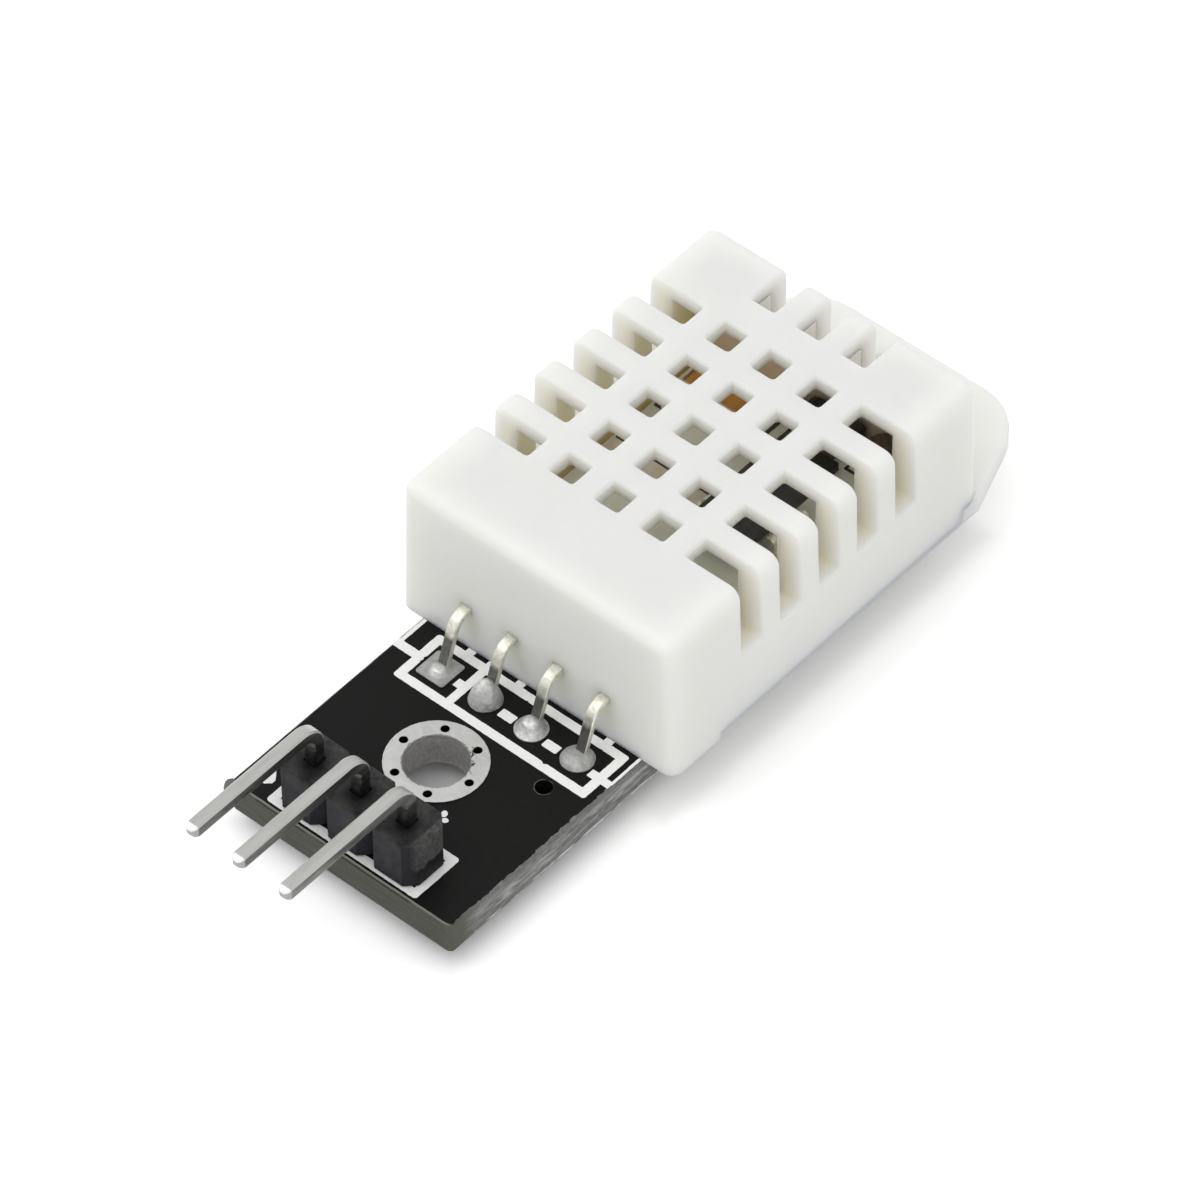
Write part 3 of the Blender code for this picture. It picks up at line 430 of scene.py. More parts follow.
def pinTin():
    look = {
        "colour": (0.57, 0.57, 0.55),
        "dull": (0.49, 0.49, 0.47),
        "paintedSideShade": (0.1, 0.1, 0.094),
        "worn": (0.24, 0.24, 0.23),
        "upright": (0.05, 0.05, 0.048),
        "dusty": (0.12, 0.12, 0.115),
        "uprightUnder": (5.55, 5.3),
        "uprightOver": (2.0, 2.1),
        "crop": (0.36, 0.36, 0.35),
        "cropAhead": (-17.58, -17.66),
        "tip": (0.97, 0.97, 0.96),
    }
    finish, place = newFinish("tinned header pins")
    y, z = axesOf(place)[1:]
    facing = facingOf(finish)
    streak = patches(0.4, 0.68, placeInMm(finish, (3.0, 0.35, 3.0)), 1.0, 4, 0.6)
    colour = blend(streak, look["colour"], look["dull"])
    # painted shade: the two faces that look along x are made much darker, with streaks
    paintedSideShade = blend(streak, look["paintedSideShade"], look["worn"])
    colour = blend(between(sizeOf(facing[0]), 0.85, 0.95), colour, paintedSideShade)
    # painted reflection of the black housing: the pins are near black up to the bend, with paler dust
    dusty = blend(patches(0.5, 0.62, place, 3.4, 4, 0.65), look["upright"], look["dusty"])
    low = least(between(z, *look["uprightUnder"]), between(z, *look["uprightOver"]))
    colour = blend(low, colour, dusty)
    cropped = between(y, *look["cropAhead"])
    colour = blend(cropped, colour, look["crop"])
    # painted highlight: the upward facets of the cut tips are near white
    colour = blend(times(cropped, between(facing[2], 0.2, 0.5)), colour, look["tip"])
    fine = grain(placeInMm(finish, (8.0, 0.9, 8.0)), 1.0, 3, 0.6)
    return settle(finish, colour, scaled(fine, 0.14, 0.3), (streak, 0.003), (fine, 0.002), metallic=0.9)


def blackHousing():
    look = {
        "colour": (0.011, 0.0108, 0.0145),
        "top": (0.045, 0.045, 0.043),
        "topOver": (4.08, 4.14),
        "scuff": (0.085, 0.085, 0.08),
        "scuffBehind": (-10.4, -9.4),
        "fuzz": (0.1, 0.102, 0.095),
        "fuzzRightOf": (3.1, 3.2),
        "fuzzBehind": (-11.4, -11.0),
        "fuzzOverShade": (3.1, 3.3),
        "dark": (0.004, 0.004, 0.004),
        "pinShadeWithin": (0.9, 0.3),
        "pins": (-2.92, -0.38, 2.16),
        "row": -10.63,
    }
    finish, place = newFinish("moulded black nylon")
    x, y, z = axesOf(place)
    # painted light: the top is paler than the sides, in cloudy patches
    cloud = patches(0.4, 0.72, place, 1.5, 4, 0.65)
    upper = blend(cloud, look["top"], look["colour"])
    # painted shade dark round each pin, with dust towards the back
    near = least(*(sizeOf(minus(x, at)) for at in look["pins"]))
    away = diagonal(near, minus(y, look["row"]))
    upper = blend(between(away, *look["pinShadeWithin"]), upper, look["dark"])
    dust = times(patches(0.5, 0.68, place, 4.0, 5, 0.7, 0.4), between(y, *look["scuffBehind"]), 0.7)
    upper = blend(dust, upper, look["scuff"])
    colour = blend(between(z, *look["topOver"]), look["colour"], upper)
    # rubbed grey fuzz on the open end, with painted shade low down
    fuzz = patches(0.36, 0.64, place, 3.6, 5, 0.75, 0.5, start=0.25)
    torn = between(scaled(grain(place, 2.2, 4, 0.7), 1.2, z), *look["fuzzOverShade"])
    fuzzAndLowShade = blend(torn, look["dark"], blend(fuzz, look["colour"], look["fuzz"]))
    atEnd = least(between(x, *look["fuzzRightOf"]), between(y, *look["fuzzBehind"]))
    colour = blend(atEnd, colour, fuzzAndLowShade)
    layers = (grain(place, 1.6, 3), 0.012), (grain(place, 12.0, 4, 0.6), 0.004)
    return settle(finish, colour, scaled(cloud, 0.2, 0.42), *layers, specular=0.16)


def mottled(name, colour, other, scale, roughness, depth):
    finish, place = newFinish(name)
    patch = patches(0.35, 0.7, place, scale, 4, 0.6)
    colour = blend(patch, colour, other)
    return settle(finish, colour, scaled(patch, 0.15, roughness), (patch, depth), specular=0.4)


finishes = {
    "coverPlastic": whitePlastic("moulded white ABS, cover", True, 1.0),
    "basePlastic": whitePlastic("moulded white ABS, base", False, 1.0),
    "wallPlastic": whitePlastic("moulded white ABS, inner wall", True, 0.1),
    "solderMask": solderMask(),
    "cutLaminate": cutLaminate(),
    "silkInk": silkInk(),
    "ringTin": ringTin(),
    "solder": solderTin(),
    "leadTin": leadTin(),
    "pinTin": pinTin(),
    "blackHousing": blackHousing(),
}

# the plain ones: name, two colours, patches to the mm, roughness, relief in mm
mottledLooks = {
    # a painted highlight for the tooling hole's rim
    "paintedRimHighlight": ("painted rim highlight", (0.2, 0.2, 0.19), (0.06, 0.06, 0.057), 3.2, 0.5, 0.01),
    "innerLaminate": ("pale inner laminate", (0.9, 0.92, 0.8), (0.82, 0.84, 0.7), 1.2, 0.5, 0.01),
    "innerDarkStrip": ("dark inner strips", (0.05, 0.045, 0.035), (0.1, 0.09, 0.07), 3.0, 0.4, 0.006),
    "beigeTape": ("beige lacquer", (0.86, 0.8, 0.68), (0.74, 0.66, 0.52), 2.0, 0.5, 0.006),
    "amberFilm": ("amber sensing film", (0.74, 0.37, 0.09), (0.62, 0.27, 0.06), 1.4, 0.3, 0.006),
    "paleCeramic": ("cream ceramic", (0.84, 0.77, 0.64), (0.72, 0.62, 0.48), 1.6, 0.5, 0.008),
    "chipBlack": ("moulded chip epoxy", (0.04, 0.04, 0.043), (0.065, 0.065, 0.068), 3.0, 0.45, 0.008),
    "beadEpoxy": ("dipped brown epoxy", (0.16, 0.12, 0.09), (0.1, 0.07, 0.05), 2.0, 0.28, 0.01),
    "partCeramic": ("brown part ceramic", (0.27, 0.19, 0.13), (0.2, 0.14, 0.09), 3.0, 0.45, 0.006),
    "resistorBlack": ("black resistor glaze", (0.02, 0.02, 0.02), (0.035, 0.035, 0.033), 3.0, 0.35, 0.004),
    "capacitorBlue": ("dark blue-grey epoxy", (0.035, 0.036, 0.048), (0.06, 0.06, 0.075), 3.0, 0.4, 0.005),
}
for key, look in mottledLooks.items():
    finishes[key] = mottled(*look)
print("finishes made:", len(finishes))


def camelName(node):
    first, *rest = node.split("_")
    return first + "".join(word.capitalize() for word in rest)


def joinFlats(shape, degrees):
    bmesh.ops.dissolve_limit(
        shape, angle_limit=math.radians(degrees), verts=shape.verts, edges=shape.edges
    )


def copyOfNode(node):
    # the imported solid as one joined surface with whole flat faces
    shape = bmesh.new()
    shape.from_mesh(nodes[node].data)
    bmesh.ops.remove_doubles(shape, verts=shape.verts, dist=0.0002 * mm)
    joinFlats(shape, 0.5)
    return shape


def addPiece(name, shape, finish, replaced=(), extra=()):
    mesh = bpy.data.meshes.new(name)
    shape.to_mesh(mesh)
    shape.free()
    piece = bpy.data.objects.new(name, mesh)
    bpy.context.scene.collection.objects.link(piece)
    for one in (finish, *extra):
        mesh.materials.append(finishes[one])
    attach(piece, "root")
    if replaced:
        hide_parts(*replaced)
    return piece


def standIn(node, shape, finish, *extra):
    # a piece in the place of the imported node, with its name and slot
    return addPiece(camelName(node), shape, finish, [node], extra)


def smoothByAngle(piece, degrees=35):
    piece.data.shade_smooth()
    piece.data.set_sharp_from_angle(angle=math.radians(degrees))


def softEdges(piece, width, steps=2, degrees=40):
    bevel = piece.modifiers.new("softened edges", "BEVEL")
    bevel.width = width
    bevel.segments = steps
    bevel.limit_method = "ANGLE"
    bevel.angle_limit = math.radians(degrees)
    bevel.harden_normals = True
    bevel.use_clamp_overlap = True
    normals = piece.modifiers.new("face normals", "WEIGHTED_NORMAL")
    normals.keep_sharp = True


def wobble(place, scale, seed=0.0):
    # repeatable noise from -1 to 1, place in mm
    return noise.noise(Vector(place) * scale + Vector((seed, seed * 0.7, -seed)))


def dress(node, finish, edge):
    piece = standIn(node, copyOfNode(node), finish)
    smoothByAngle(piece)
    softEdges(piece, edge)


def faceOutwards(shape):
    bmesh.ops.recalc_face_normals(shape, faces=shape.faces)


def joinRings(shape, rings):
    # quads from each ring of corners to the next, triangles where a ring is one corner
    for near, far in zip(rings, rings[1:]):
        for i in range(max(len(near), len(far))):
            a, b, c, d = i % len(near), (i + 1) % len(near), (i + 1) % len(far), i % len(far)
            shape.faces.new(list(dict.fromkeys((near[a], near[b], far[c], far[d]))))


bendStep = 5  # degrees


def onwards(station, length):
    # the station moved on along its heading
    y, z, heading = station
    on = math.radians(heading)
    return y + math.cos(on) * length, z + math.sin(on) * length, heading


def bentLine(start, heading, moves):
    # (y, z) points in mm and headings in degrees, from ("run", length) and
    # ("turn", radius, angle)
    line = [(*start, heading)]
    for kind, *sizes in moves:
        if kind == "run":
            line.append(onwards(line[-1], *sizes))
            continue
        radius, angle = sizes
        y, z, heading = line[-1]
        centreY = y - math.sin(math.radians(heading)) * radius
        centreZ = z + math.cos(math.radians(heading)) * radius
        count = max(2, round(abs(angle) / bendStep))
        for i in range(1, count + 1):
            turned = heading + angle * i / count
            y = centreY + math.sin(math.radians(turned)) * radius
            z = centreZ - math.cos(math.radians(turned)) * radius
            line.append((y, z, turned))
    return line


def sweptBar(x, line, wide, thick, corner, tips):
    # a bar of cut-cornered section along a bent line
    # tips are (length, size) pairs of the tapered ends
    shape = bmesh.new()
    a, b = wide / 2, thick / 2
    section = [(a - corner, b), (-a + corner, b), (-a, b - corner), (-a, -b + corner),
               (-a + corner, -b), (a - corner, -b), (a, -b + corner), (a, b - corner)]
    stations = [(*station, 1.0) for station in line]
    for length, size in tips:
        stations.insert(0, (*onwards(line[0], -length), size))
        stations.append((*onwards(line[-1], length), size))
    rings = []
    for y, z, heading, size in stations:
        up = math.radians(heading + 90)
        ring = []
        for u, v in section:
            place = (x + u * size, y + math.cos(up) * v * size, z + math.sin(up) * v * size)
            ring.append(shape.verts.new(Vector(place) * mm))
        rings.append(ring)
    joinRings(shape, rings)
    shape.faces.new(rings[0])
    shape.faces.new(rings[-1][::-1])
    faceOutwards(shape)
    return shape


coverLook = {"finish": "coverPlastic", "edge": 0.035 * mm}
baseLook = {"finish": "basePlastic", "edge": 0.04 * mm}
dress("sensor_cover", **coverLook)
dress("sensor_base", **baseLook)

# the wall inside the far end, with a pocket behind each end notch, in mm
endWallLook = {
    "wide": 6.0,
    "wall": (18.4, 18.88),
    "pockets": (-2.48, 0.0, 2.48),
    "inner": 0.62,
    "thick": 0.3,
    "mouth": 17.58,
    "levels": (3.87, 6.85, 7.0, 8.555),  # foot, under the pockets, floor of the pockets, top
    "step": -0.62,  # left of this the wall stands forward, as far as the pockets do
    "edge": 0.03 * mm,
}


def stackedBlocks(xs, ys, zs, filled):
    # one closed surface round every filled cell of a grid
    shape = bmesh.new()
    corners = {}

    def corner(i, j, k):
        if (i, j, k) not in corners:
            corners[i, j, k] = shape.verts.new(Vector((xs[i], ys[j], zs[k])) * mm)
        return corners[i, j, k]

    def cell(i, j, k):
        if not (0 <= i < len(xs) - 1 and 0 <= j < len(ys) - 1 and 0 <= k < len(zs) - 1):
            return False
        return filled((xs[i] + xs[i + 1]) / 2, (ys[j] + ys[j + 1]) / 2, (zs[k] + zs[k + 1]) / 2)

    sides = {
        (1, 0, 0): ((1, 0, 0), (1, 1, 0), (1, 1, 1), (1, 0, 1)),
        (-1, 0, 0): ((0, 0, 0), (0, 0, 1), (0, 1, 1), (0, 1, 0)),
        (0, 1, 0): ((0, 1, 0), (0, 1, 1), (1, 1, 1), (1, 1, 0)),
        (0, -1, 0): ((0, 0, 0), (1, 0, 0), (1, 0, 1), (0, 0, 1)),
        (0, 0, 1): ((0, 0, 1), (1, 0, 1), (1, 1, 1), (0, 1, 1)),
        (0, 0, -1): ((0, 0, 0), (0, 1, 0), (1, 1, 0), (1, 0, 0)),
    }
    for i in range(len(xs) - 1):
        for j in range(len(ys) - 1):
            for k in range(len(zs) - 1):
                if not cell(i, j, k):
                    continue
                for (di, dj, dk), quad in sides.items():
                    if not cell(i + di, j + dj, k + dk):
                        shape.faces.new([corner(i + a, j + b, k + c) for a, b, c in quad])
    joinFlats(shape, 1)
    return shape


def makeEndWall():
    look = endWallLook
    half = look["inner"] + look["thick"]
    reaches = (-half, -look["inner"], look["inner"], half)
    cuts = [at + reach for at in look["pockets"] for reach in reaches]
    xs = sorted({-look["wide"], look["wide"], *cuts})
    ys = [look["mouth"] - look["thick"], look["mouth"], *look["wall"]]

    def filled(x, y, z):
        near = min(abs(x - at) for at in look["pockets"])
        if near < look["inner"] and y > look["mouth"] and z > look["levels"][2]:
            return False
        forward = x < look["step"] and (y < look["mouth"] or x > look["step"] - look["thick"])
        return y > look["wall"][0] or forward or (near < half and z > look["levels"][1])

    shape = stackedBlocks(xs, ys, look["levels"], filled)
    piece = addPiece("coverEndWall", shape, "wallPlastic")
    smoothByAngle(piece)
    softEdges(piece, look["edge"])


makeEndWall()
print("sensor cover and base made")

# shares of the chip's height, and how far the body draws in there, in mm
chipLook = {"levels": [(0.0, 0.5), (0.62, 0.0), (0.7, 0.0), (1.0, 0.06)], "edge": 0.03 * mm}


def makeChip():
    low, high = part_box("control_chip")
    shape = bmesh.new()
    rings = []
    for share, draw in chipLook["levels"]:
        z = low[2] + (high[2] - low[2]) * share
        inset = draw * mm
        left, right = low[0] + inset, high[0] - inset
        front, rear = low[1] + inset / 2, high[1] - inset / 2
        corners = [(left, front), (right, front), (right, rear), (left, rear)]
        rings.append([shape.verts.new((x, y, z)) for x, y in corners])
    joinRings(shape, rings)
    shape.faces.new(rings[0][::-1])
    shape.faces.new(rings[-1])
    piece = standIn("control_chip", shape, "chipBlack")
    smoothByAngle(piece, 20)
    softEdges(piece, chipLook["edge"], 2, 15)


makeChip()

# all in mm
boardLook = {
    "top": 1.6,
    "sides": (-6.35, 5.85),
    "ends": (-11.95, 19.0),
    "rim": 0.28,  # walls this near the outline are the cut edge
    "core": 0.6,  # flaws point away from an outline this far in
    "step": 0.12,
    "chip": 0.09,
    "ragged": 0.08,
    "calm": 0.15,  # share of the flaws on the cleaner sides
    # how the rim wavers: (waves to the mm, seed, share)
    "waves": [(2.1, 0.0, 1.0), (5.3, 3.0, 0.8), (11.0, 5.0, 0.5)],
    "toolingHole": (3.75, -3.75),
    "toolingRim": (0.4, 0.455),
}


def makeBoard():
    look = boardLook
    shape = copyOfNode("breakout_board")
    (left, right), (front, rear) = look["sides"], look["ends"]
    rim, core = look["rim"], look["core"]

    def outer(item):
        # true for what lies on the board's outline
        return all(
            v.co.x < (left + rim) * mm or v.co.x > (right - rim) * mm
            or v.co.y < (front + rim) * mm or v.co.y > (rear - rim) * mm
            for v in item.verts
        )

    for face in shape.faces:
        face.material_index = 1 if abs(face.normal.z) < 0.5 and outer(face) else 0
    walls = [face for face in shape.faces if face.material_index == 1 and len(face.verts) == 4]
    for face in walls:
        level = [e for e in face.edges if abs(e.verts[0].co.z - e.verts[1].co.z) < 0.001 * mm]
        if len(level) == 2 and level[0].calc_length() > 1 * mm:
            cuts = int(level[0].calc_length() / (look["step"] * mm))
            bmesh.ops.subdivide_edges(shape, edges=level, cuts=cuts, use_grid_fill=True)
    arris = [
        e for e in shape.edges
        if outer(e) and all(v.co.z > (look["top"] - 0.001) * mm for v in e.verts)
        and any(f.material_index == 1 for f in e.link_faces)
    ]
    cut = bmesh.ops.bevel(
        shape, geom=arris, offset=look["chip"] * mm, segments=1, affect="EDGES", clamp_overlap=False
    )
    worn = {vert for face in cut["faces"] for vert in face.verts}
    for face in cut["faces"]:
        face.material_index = 1
    for vert in worn:
        at = vert.co / mm
        inX = min(max(at.x, left + core), right - core)
        inY = min(max(at.y, front + core), rear - core)
        outward = (at - Vector((inX, inY, at.z))).normalized()
        # the saw left the front edge clean, the router chipped the right one
        amount = look["ragged"] * (1.0 if at.x > right - 0.3 else look["calm"])
        if at.z > look["top"] - 0.01:
            push = sum(wobble(at, scale, seed) * amount * share for scale, seed, share in look["waves"])
            vert.co += outward * min(push, look["chip"] * 0.7) * mm
        else:
            vert.co += Vector((0, 0, wobble(at, 3.1, 7.0) * amount * 0.8)) * mm
            vert.co -= outward * abs(wobble(at, 4.0, 9.0)) * 0.3 * amount * mm
    smoothByAngle(standIn("breakout_board", shape, "solderMask", "cutLaminate"), 30)


def makeToolingRim():
    # a thin ring of painted highlight on the black face round the tooling hole's rim
    look = boardLook
    centre = Vector(look["toolingHole"])
    inner, outer = look["toolingRim"]
    count, low, high = 72, look["top"] - 0.004, look["top"] + 0.006
    shape = bmesh.new()
    rings = []
    for i in range(count):
        turn = 2 * math.pi * i / count
        arm = Vector((math.cos(turn), math.sin(turn)))
        reach = outer - 0.025 * (1 + wobble((arm.x, arm.y, 0), 2.4, 6.0)) - 0.02 * max(0, arm.x + arm.y)
        places = [(inner + 0.003, high), (reach, high), (reach, low), (inner + 0.003, low)]
        rings.append([shape.verts.new(Vector((*(centre + arm * r), z)) * mm) for r, z in places])
    joinRings(shape, rings + rings[:1])
    faceOutwards(shape)
    smoothByAngle(addPiece("toolingHoleRim", shape, "paintedRimHighlight"))


makeBoard()
makeToolingRim()


# what is left of the bridge that held the board in its panel
nubLook = {"place": (-6.36, -11.86, 0.98), "size": (0.34, 0.34, 0.56), "rough": 0.07}


def makeNub():
    look = nubLook
    shape = bmesh.new()
    bmesh.ops.create_icosphere(shape, subdivisions=4, radius=1.0)
    for vert in shape.verts:
        lump = 1 + look["rough"] * (wobble(vert.co, 1.8, 2.0) + 0.6 * wobble(vert.co, 5.0, 4.0))
        vert.co = Vector([c * s * lump + p for c, s, p in zip(vert.co, look["size"], look["place"])]) * mm
    piece = addPiece("breakawayNub", shape, "cutLaminate")
    smoothByAngle(piece, 60)


makeNub()
print("board made")


# printed lines on the board, in mm: (closed, width, points)
legendLook = {
    "thick": 0.012,
    "corner": 0.15,
    "ragged": 0.014,
    "step": 0.09,
    "lines": [
        (True, 0.44, [(-4.965, -0.43), (5.2, -0.43), (5.2, -2.95), (-4.965, -2.95)]),
        (False, 0.41, [(-2.37, -2.8), (-2.37, -0.6)]),
        (False, 0.46, [(-2.88, -1.755), (-2.45, -1.755)]),
        (False, 0.43, [(4.66, -1.9), (5.1, -1.9)]),
        (False, 0.4, [(5.3, -1.91), (5.8, -1.91)]),
        (False, 0.45, [(-6.3, -1.71), (-5.05, -1.71)]),
        (False, 0.13, [(5.77, -1.85), (5.77, 1.6)]),
        (False, 0.19, [(-6.155, -1.6), (-6.155, 1.6)]),
        (False, 0.43, [(-3.5, -0.35), (-3.5, 0.5)]),
        (False, 0.41, [(-2.37, -0.35), (-2.37, 0.5)]),
        (False, 0.43, [(-0.735, -0.35), (-0.735, 0.5)]),
        (False, 0.43, [(4.16, -0.35), (4.16, 0.5)]),
        (False, 0.43, [(2.8, -9.17), (3.53, -9.17), (3.53, -11.52), (-4.32, -11.52),
                       (-4.32, -9.17), (-3.8, -9.17)]),
    ],
    # flaws bitten out of the edges: (x, y, reach)
    "nicks": [
        (2.87, -2.7, 0.13),
        (-4.73, -1.6, 0.08),
        (-4.73, -1.85, 0.07),
        (0.1, -0.66, 0.06),
        (4.2, -0.68, 0.07),
    ],
    "dashCorner": 0.06,
    "dashes": [
        [(-0.36, -1.57), (0.42, -1.57), (0.42, -2.04), (-0.36, -2.04)],
        [(2.13, -1.64), (2.92, -1.64), (2.92, -2.09), (2.13, -2.09)],
        [(-5.5, -10.28), (-5.25, -10.28), (-4.92, -10.72), (-4.92, -10.92), (-5.17, -11.14), (-5.5, -11.14)],
    ],
    # round blots: (x, y, radius, stretch, turn)
    "blots": [(1.585, -7.53, 0.145, 1.25, 1.9), (1.85, -7.77, 0.14, 1.1, 0.6)],
    "blotSides": 28,
}


def roundedPath(points, radius):
    # a closed outline with its corners rounded
    path = []
    for i, point in enumerate(points):
        here = Vector(point)
        before = (Vector(points[i - 1]) - here).normalized()
        after = (Vector(points[(i + 1) % len(points)]) - here).normalized()
        half = before.angle(after) / 2
        reach = radius / math.tan(half)
        centre = here + (before + after).normalized() * radius / math.sin(half)
        start, end = here + before * reach - centre, here + after * reach - centre
        sweep = start.angle_signed(end)
        for k in range(7):
            arm = start.copy()
            arm.rotate(Matrix.Rotation(-sweep * k / 6, 2))
            path.append(centre + arm)
    return path


def evenly(path, step):
    dense = []
    for a, b in zip(path, path[1:] + path[:1]):
        parts = max(1, round((b - a).length / step))
        dense += [a.lerp(b, k / parts) for k in range(parts)]
    return dense


def rungsOf(points, closed, width, radius, step):
    # pairs of points on the two sides of a line; corners are round outside and sharp inside
    places = [Vector(point) for point in points]
    count = len(places)
    half = width / 2
    stops = []
    for i, here in enumerate(places):
        inward = (here - places[i - 1]).normalized()
        onward = (places[(i + 1) % count] - here).normalized()
        if not closed and i == 0:
            inward = onward
        if not closed and i == count - 1:
            onward = inward
        normal = Vector((-inward.y, inward.x))
        if inward.dot(onward) > 0.999:
            stops.append([(here + normal * half, here - normal * half)])
            continue
        turn = math.asin(max(-1, min(1, inward.cross(onward))))
        mitre = (normal + Vector((-onward.y, onward.x))).normalized() * half / math.cos(turn / 2)
        side = 1 if turn > 0 else -1
        inside, outside = here + mitre * side, here - mitre * side
        start = outside - inward * radius * math.tan(abs(turn) / 2)
        centre = start + normal * side * radius
        fan = []
        for k in range(5):
            arm = start - centre
            arm.rotate(Matrix.Rotation(turn * k / 4, 2))
            outer = centre + arm
            fan.append((inside, outer) if side > 0 else (outer, inside))
        stops.append(fan)
    rungs = []
    for i, fan in enumerate(stops):
        rungs += fan
        if i + 1 < count or closed:
            a, b = fan[-1], stops[(i + 1) % count][0]
            parts = max(1, round((b[0] - a[0]).length / step))
            rungs += [(a[0].lerp(b[0], k / parts), a[1].lerp(b[1], k / parts)) for k in range(1, parts)]
    return rungs


def ragged(place, amount):
    x, y = place
    return Vector((x + amount * wobble((x, y, 0), 5.5, 1.0), y + amount * wobble((x, y, 0), 5.5, 8.0)))


def addRibbon(shape, rungs, closed, low, high, amount, nicks):
    known = {}

    def corner(place, z):
        key = (round(place.x, 6), round(place.y, 6), z)
        if key not in known:
            known[key] = shape.verts.new(Vector((*place, z)) * mm)
        return known[key]

    rings = []
    for left, right in rungs:
        ring = []
        for here, there in ((left, right), (right, left)):
            place = here.copy()
            for x, y, reach in nicks:
                gap = (here - Vector((x, y))).length
                if gap < reach:
                    place += (there - here).normalized() * (reach - gap)
            place = ragged(place, amount)
            ring += [corner(place, high), corner(place, low)]
        rings.append(ring)
    pairs = list(zip(rings, rings[1:]))
    if closed:
        pairs.append((rings[-1], rings[0]))
    for a, b in pairs:
        for i, j in ((0, 2), (2, 3), (3, 1), (1, 0)):
            quad = list(dict.fromkeys((a[i], b[i], b[j], a[j])))
            if len(quad) > 2:
                shape.faces.new(quad)
    if not closed:
        for ring in (rings[0], rings[-1]):
            shape.faces.new((ring[0], ring[1], ring[3], ring[2]))


def addPatch(shape, outline, low, high):
    upper = [shape.verts.new(Vector((x, y, high)) * mm) for x, y in outline]
    lower = [shape.verts.new(Vector((x, y, low)) * mm) for x, y in outline]
    shape.faces.new(upper)
    shape.faces.new(lower[::-1])
    for i in range(len(outline)):
        j = (i + 1) % len(outline)
        shape.faces.new((upper[i], lower[i], lower[j], upper[j]))


def makeLegend():
    look = legendLook
    shape = bmesh.new()
    low = boardLook["top"] - 0.002
    high = boardLook["top"] + look["thick"]
    for i, (closed, width, points) in enumerate(look["lines"]):
        rungs = rungsOf(points, closed, width, look["corner"], look["step"])
        addRibbon(shape, rungs, closed, low, high + 0.0004 * i, look["ragged"], look["nicks"])
    for corners in look["dashes"]:
        path = evenly(roundedPath(corners, look["dashCorner"]), look["step"])
        addPatch(shape, [ragged(p, look["ragged"]) for p in path], low, high)
    for i, (x, y, radius, stretch, turn) in enumerate(look["blots"]):
        blot = []
        for k in range(look["blotSides"]):
            angle = 2 * math.pi * k / look["blotSides"]
            arm = Vector((math.cos(angle) * stretch, math.sin(angle))) * radius
            arm.rotate(Matrix.Rotation(turn, 2))
            blot.append(ragged(Vector((x, y)) + arm, look["ragged"] * 1.5))
        addPatch(shape, blot, low, high + 0.0006 * i)
    faceOutwards(shape)
    addPiece("boardLegend", shape, "silkInk")


makeLegend()
print("legend made")


# all in mm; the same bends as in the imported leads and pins, in finer steps
leadLook = {
    "places": (-3.81, -1.27, 1.27, 3.81),
    "wide": 0.52,
    "thick": 0.28,
    "corner": 0.045,
    "edge": 0.012,
    "start": (3.1, 4.0),
    "straight": 3.15,
    "bend": 0.85,
    "slant": 70,
    "knee": 0.4,
    "tail": 2.4,
    "tips": [],
}
pinLook = {
    "places": (-2.92, -0.38, 2.16),
    "wide": 0.64,
    "thick": 0.64,
    "corner": 0.08,
    "edge": 0.015,
    "start": (-10.38, -1.0),
    "level": 6.18,
    "bend": 0.87,
    "reach": 7.5,
    "tips": [(0.1, 0.9), (0.18, 0.74), (0.25, 0.5), (0.28, 0.3)],
}


def addBars(kind, finish, look, line):
    for number, x in enumerate(look["places"], 1):
        shape = sweptBar(x, line, look["wide"], look["thick"], look["corner"], look["tips"])
        piece = standIn(f"{kind}_{number}", shape, finish)
        smoothByAngle(piece, 30)
        softEdges(piece, look["edge"] * mm, 1, 30)


def makeLeads():
    look = leadLook
    slant = math.radians(look["slant"])
    arcs = look["bend"] * (1 - math.cos(slant)) + look["knee"] * math.cos(slant)
    drop = look["start"][1] - boardLook["top"] - arcs
    moves = [
        ("run", look["straight"]),
        ("turn", look["bend"], look["slant"]),
        ("run", drop / math.sin(slant)),
        ("turn", look["knee"], 90 - look["slant"]),
        ("run", look["tail"]),
    ]
    addBars("sensor_lead", "leadTin", look, bentLine(look["start"], 180, moves))


def makePins():
    look = pinLook
    y, low = look["start"]
    tip = look["tips"][-1][0]
    moves = [
        ("run", look["level"] - look["bend"] - low - tip),
        ("turn", look["bend"], 90),
        ("run", look["reach"] - look["bend"] - tip),
    ]
    addBars("header_pin", "pinTin", look, bentLine((y, low + tip), 90, moves))


makeLeads()
makePins()
print("leads and pins made")


jointLook = {
    "land": 0.75,
    "landThick": 0.05,
    "drill": 0.56,
    "gap": 0.02,
    "wallFoot": 0.01,
    "sides": 48,
    # the first joint's square land, in mm: half its side, its thickness, its corners
    "square": (0.76, 0.06, 0.12),
    # solder on each lead, in mm: kind, height over the land, foot and tip radius, lumpiness
    "over": [
        ("hollow", 0.2, 0.6, 0.36, 0.05),
        ("egg", 1.2, 0.74, 0.3, 0.06),
        ("hollow", 0.55, 0.72, 0.36, 0.03),
        ("dome", 0.3, 0.73, 0.3, 0.03),
    ],
    "under": ("hollow", 0.5, 0.68, 0.44, 0.06),
    "hollowShape": 1.6,
    # domes bulge evenly, eggs lean in towards a narrow top: two powers for each
    "moundShape": {"dome": (2.4, 0.62), "egg": (1.55, 0.8)},
}


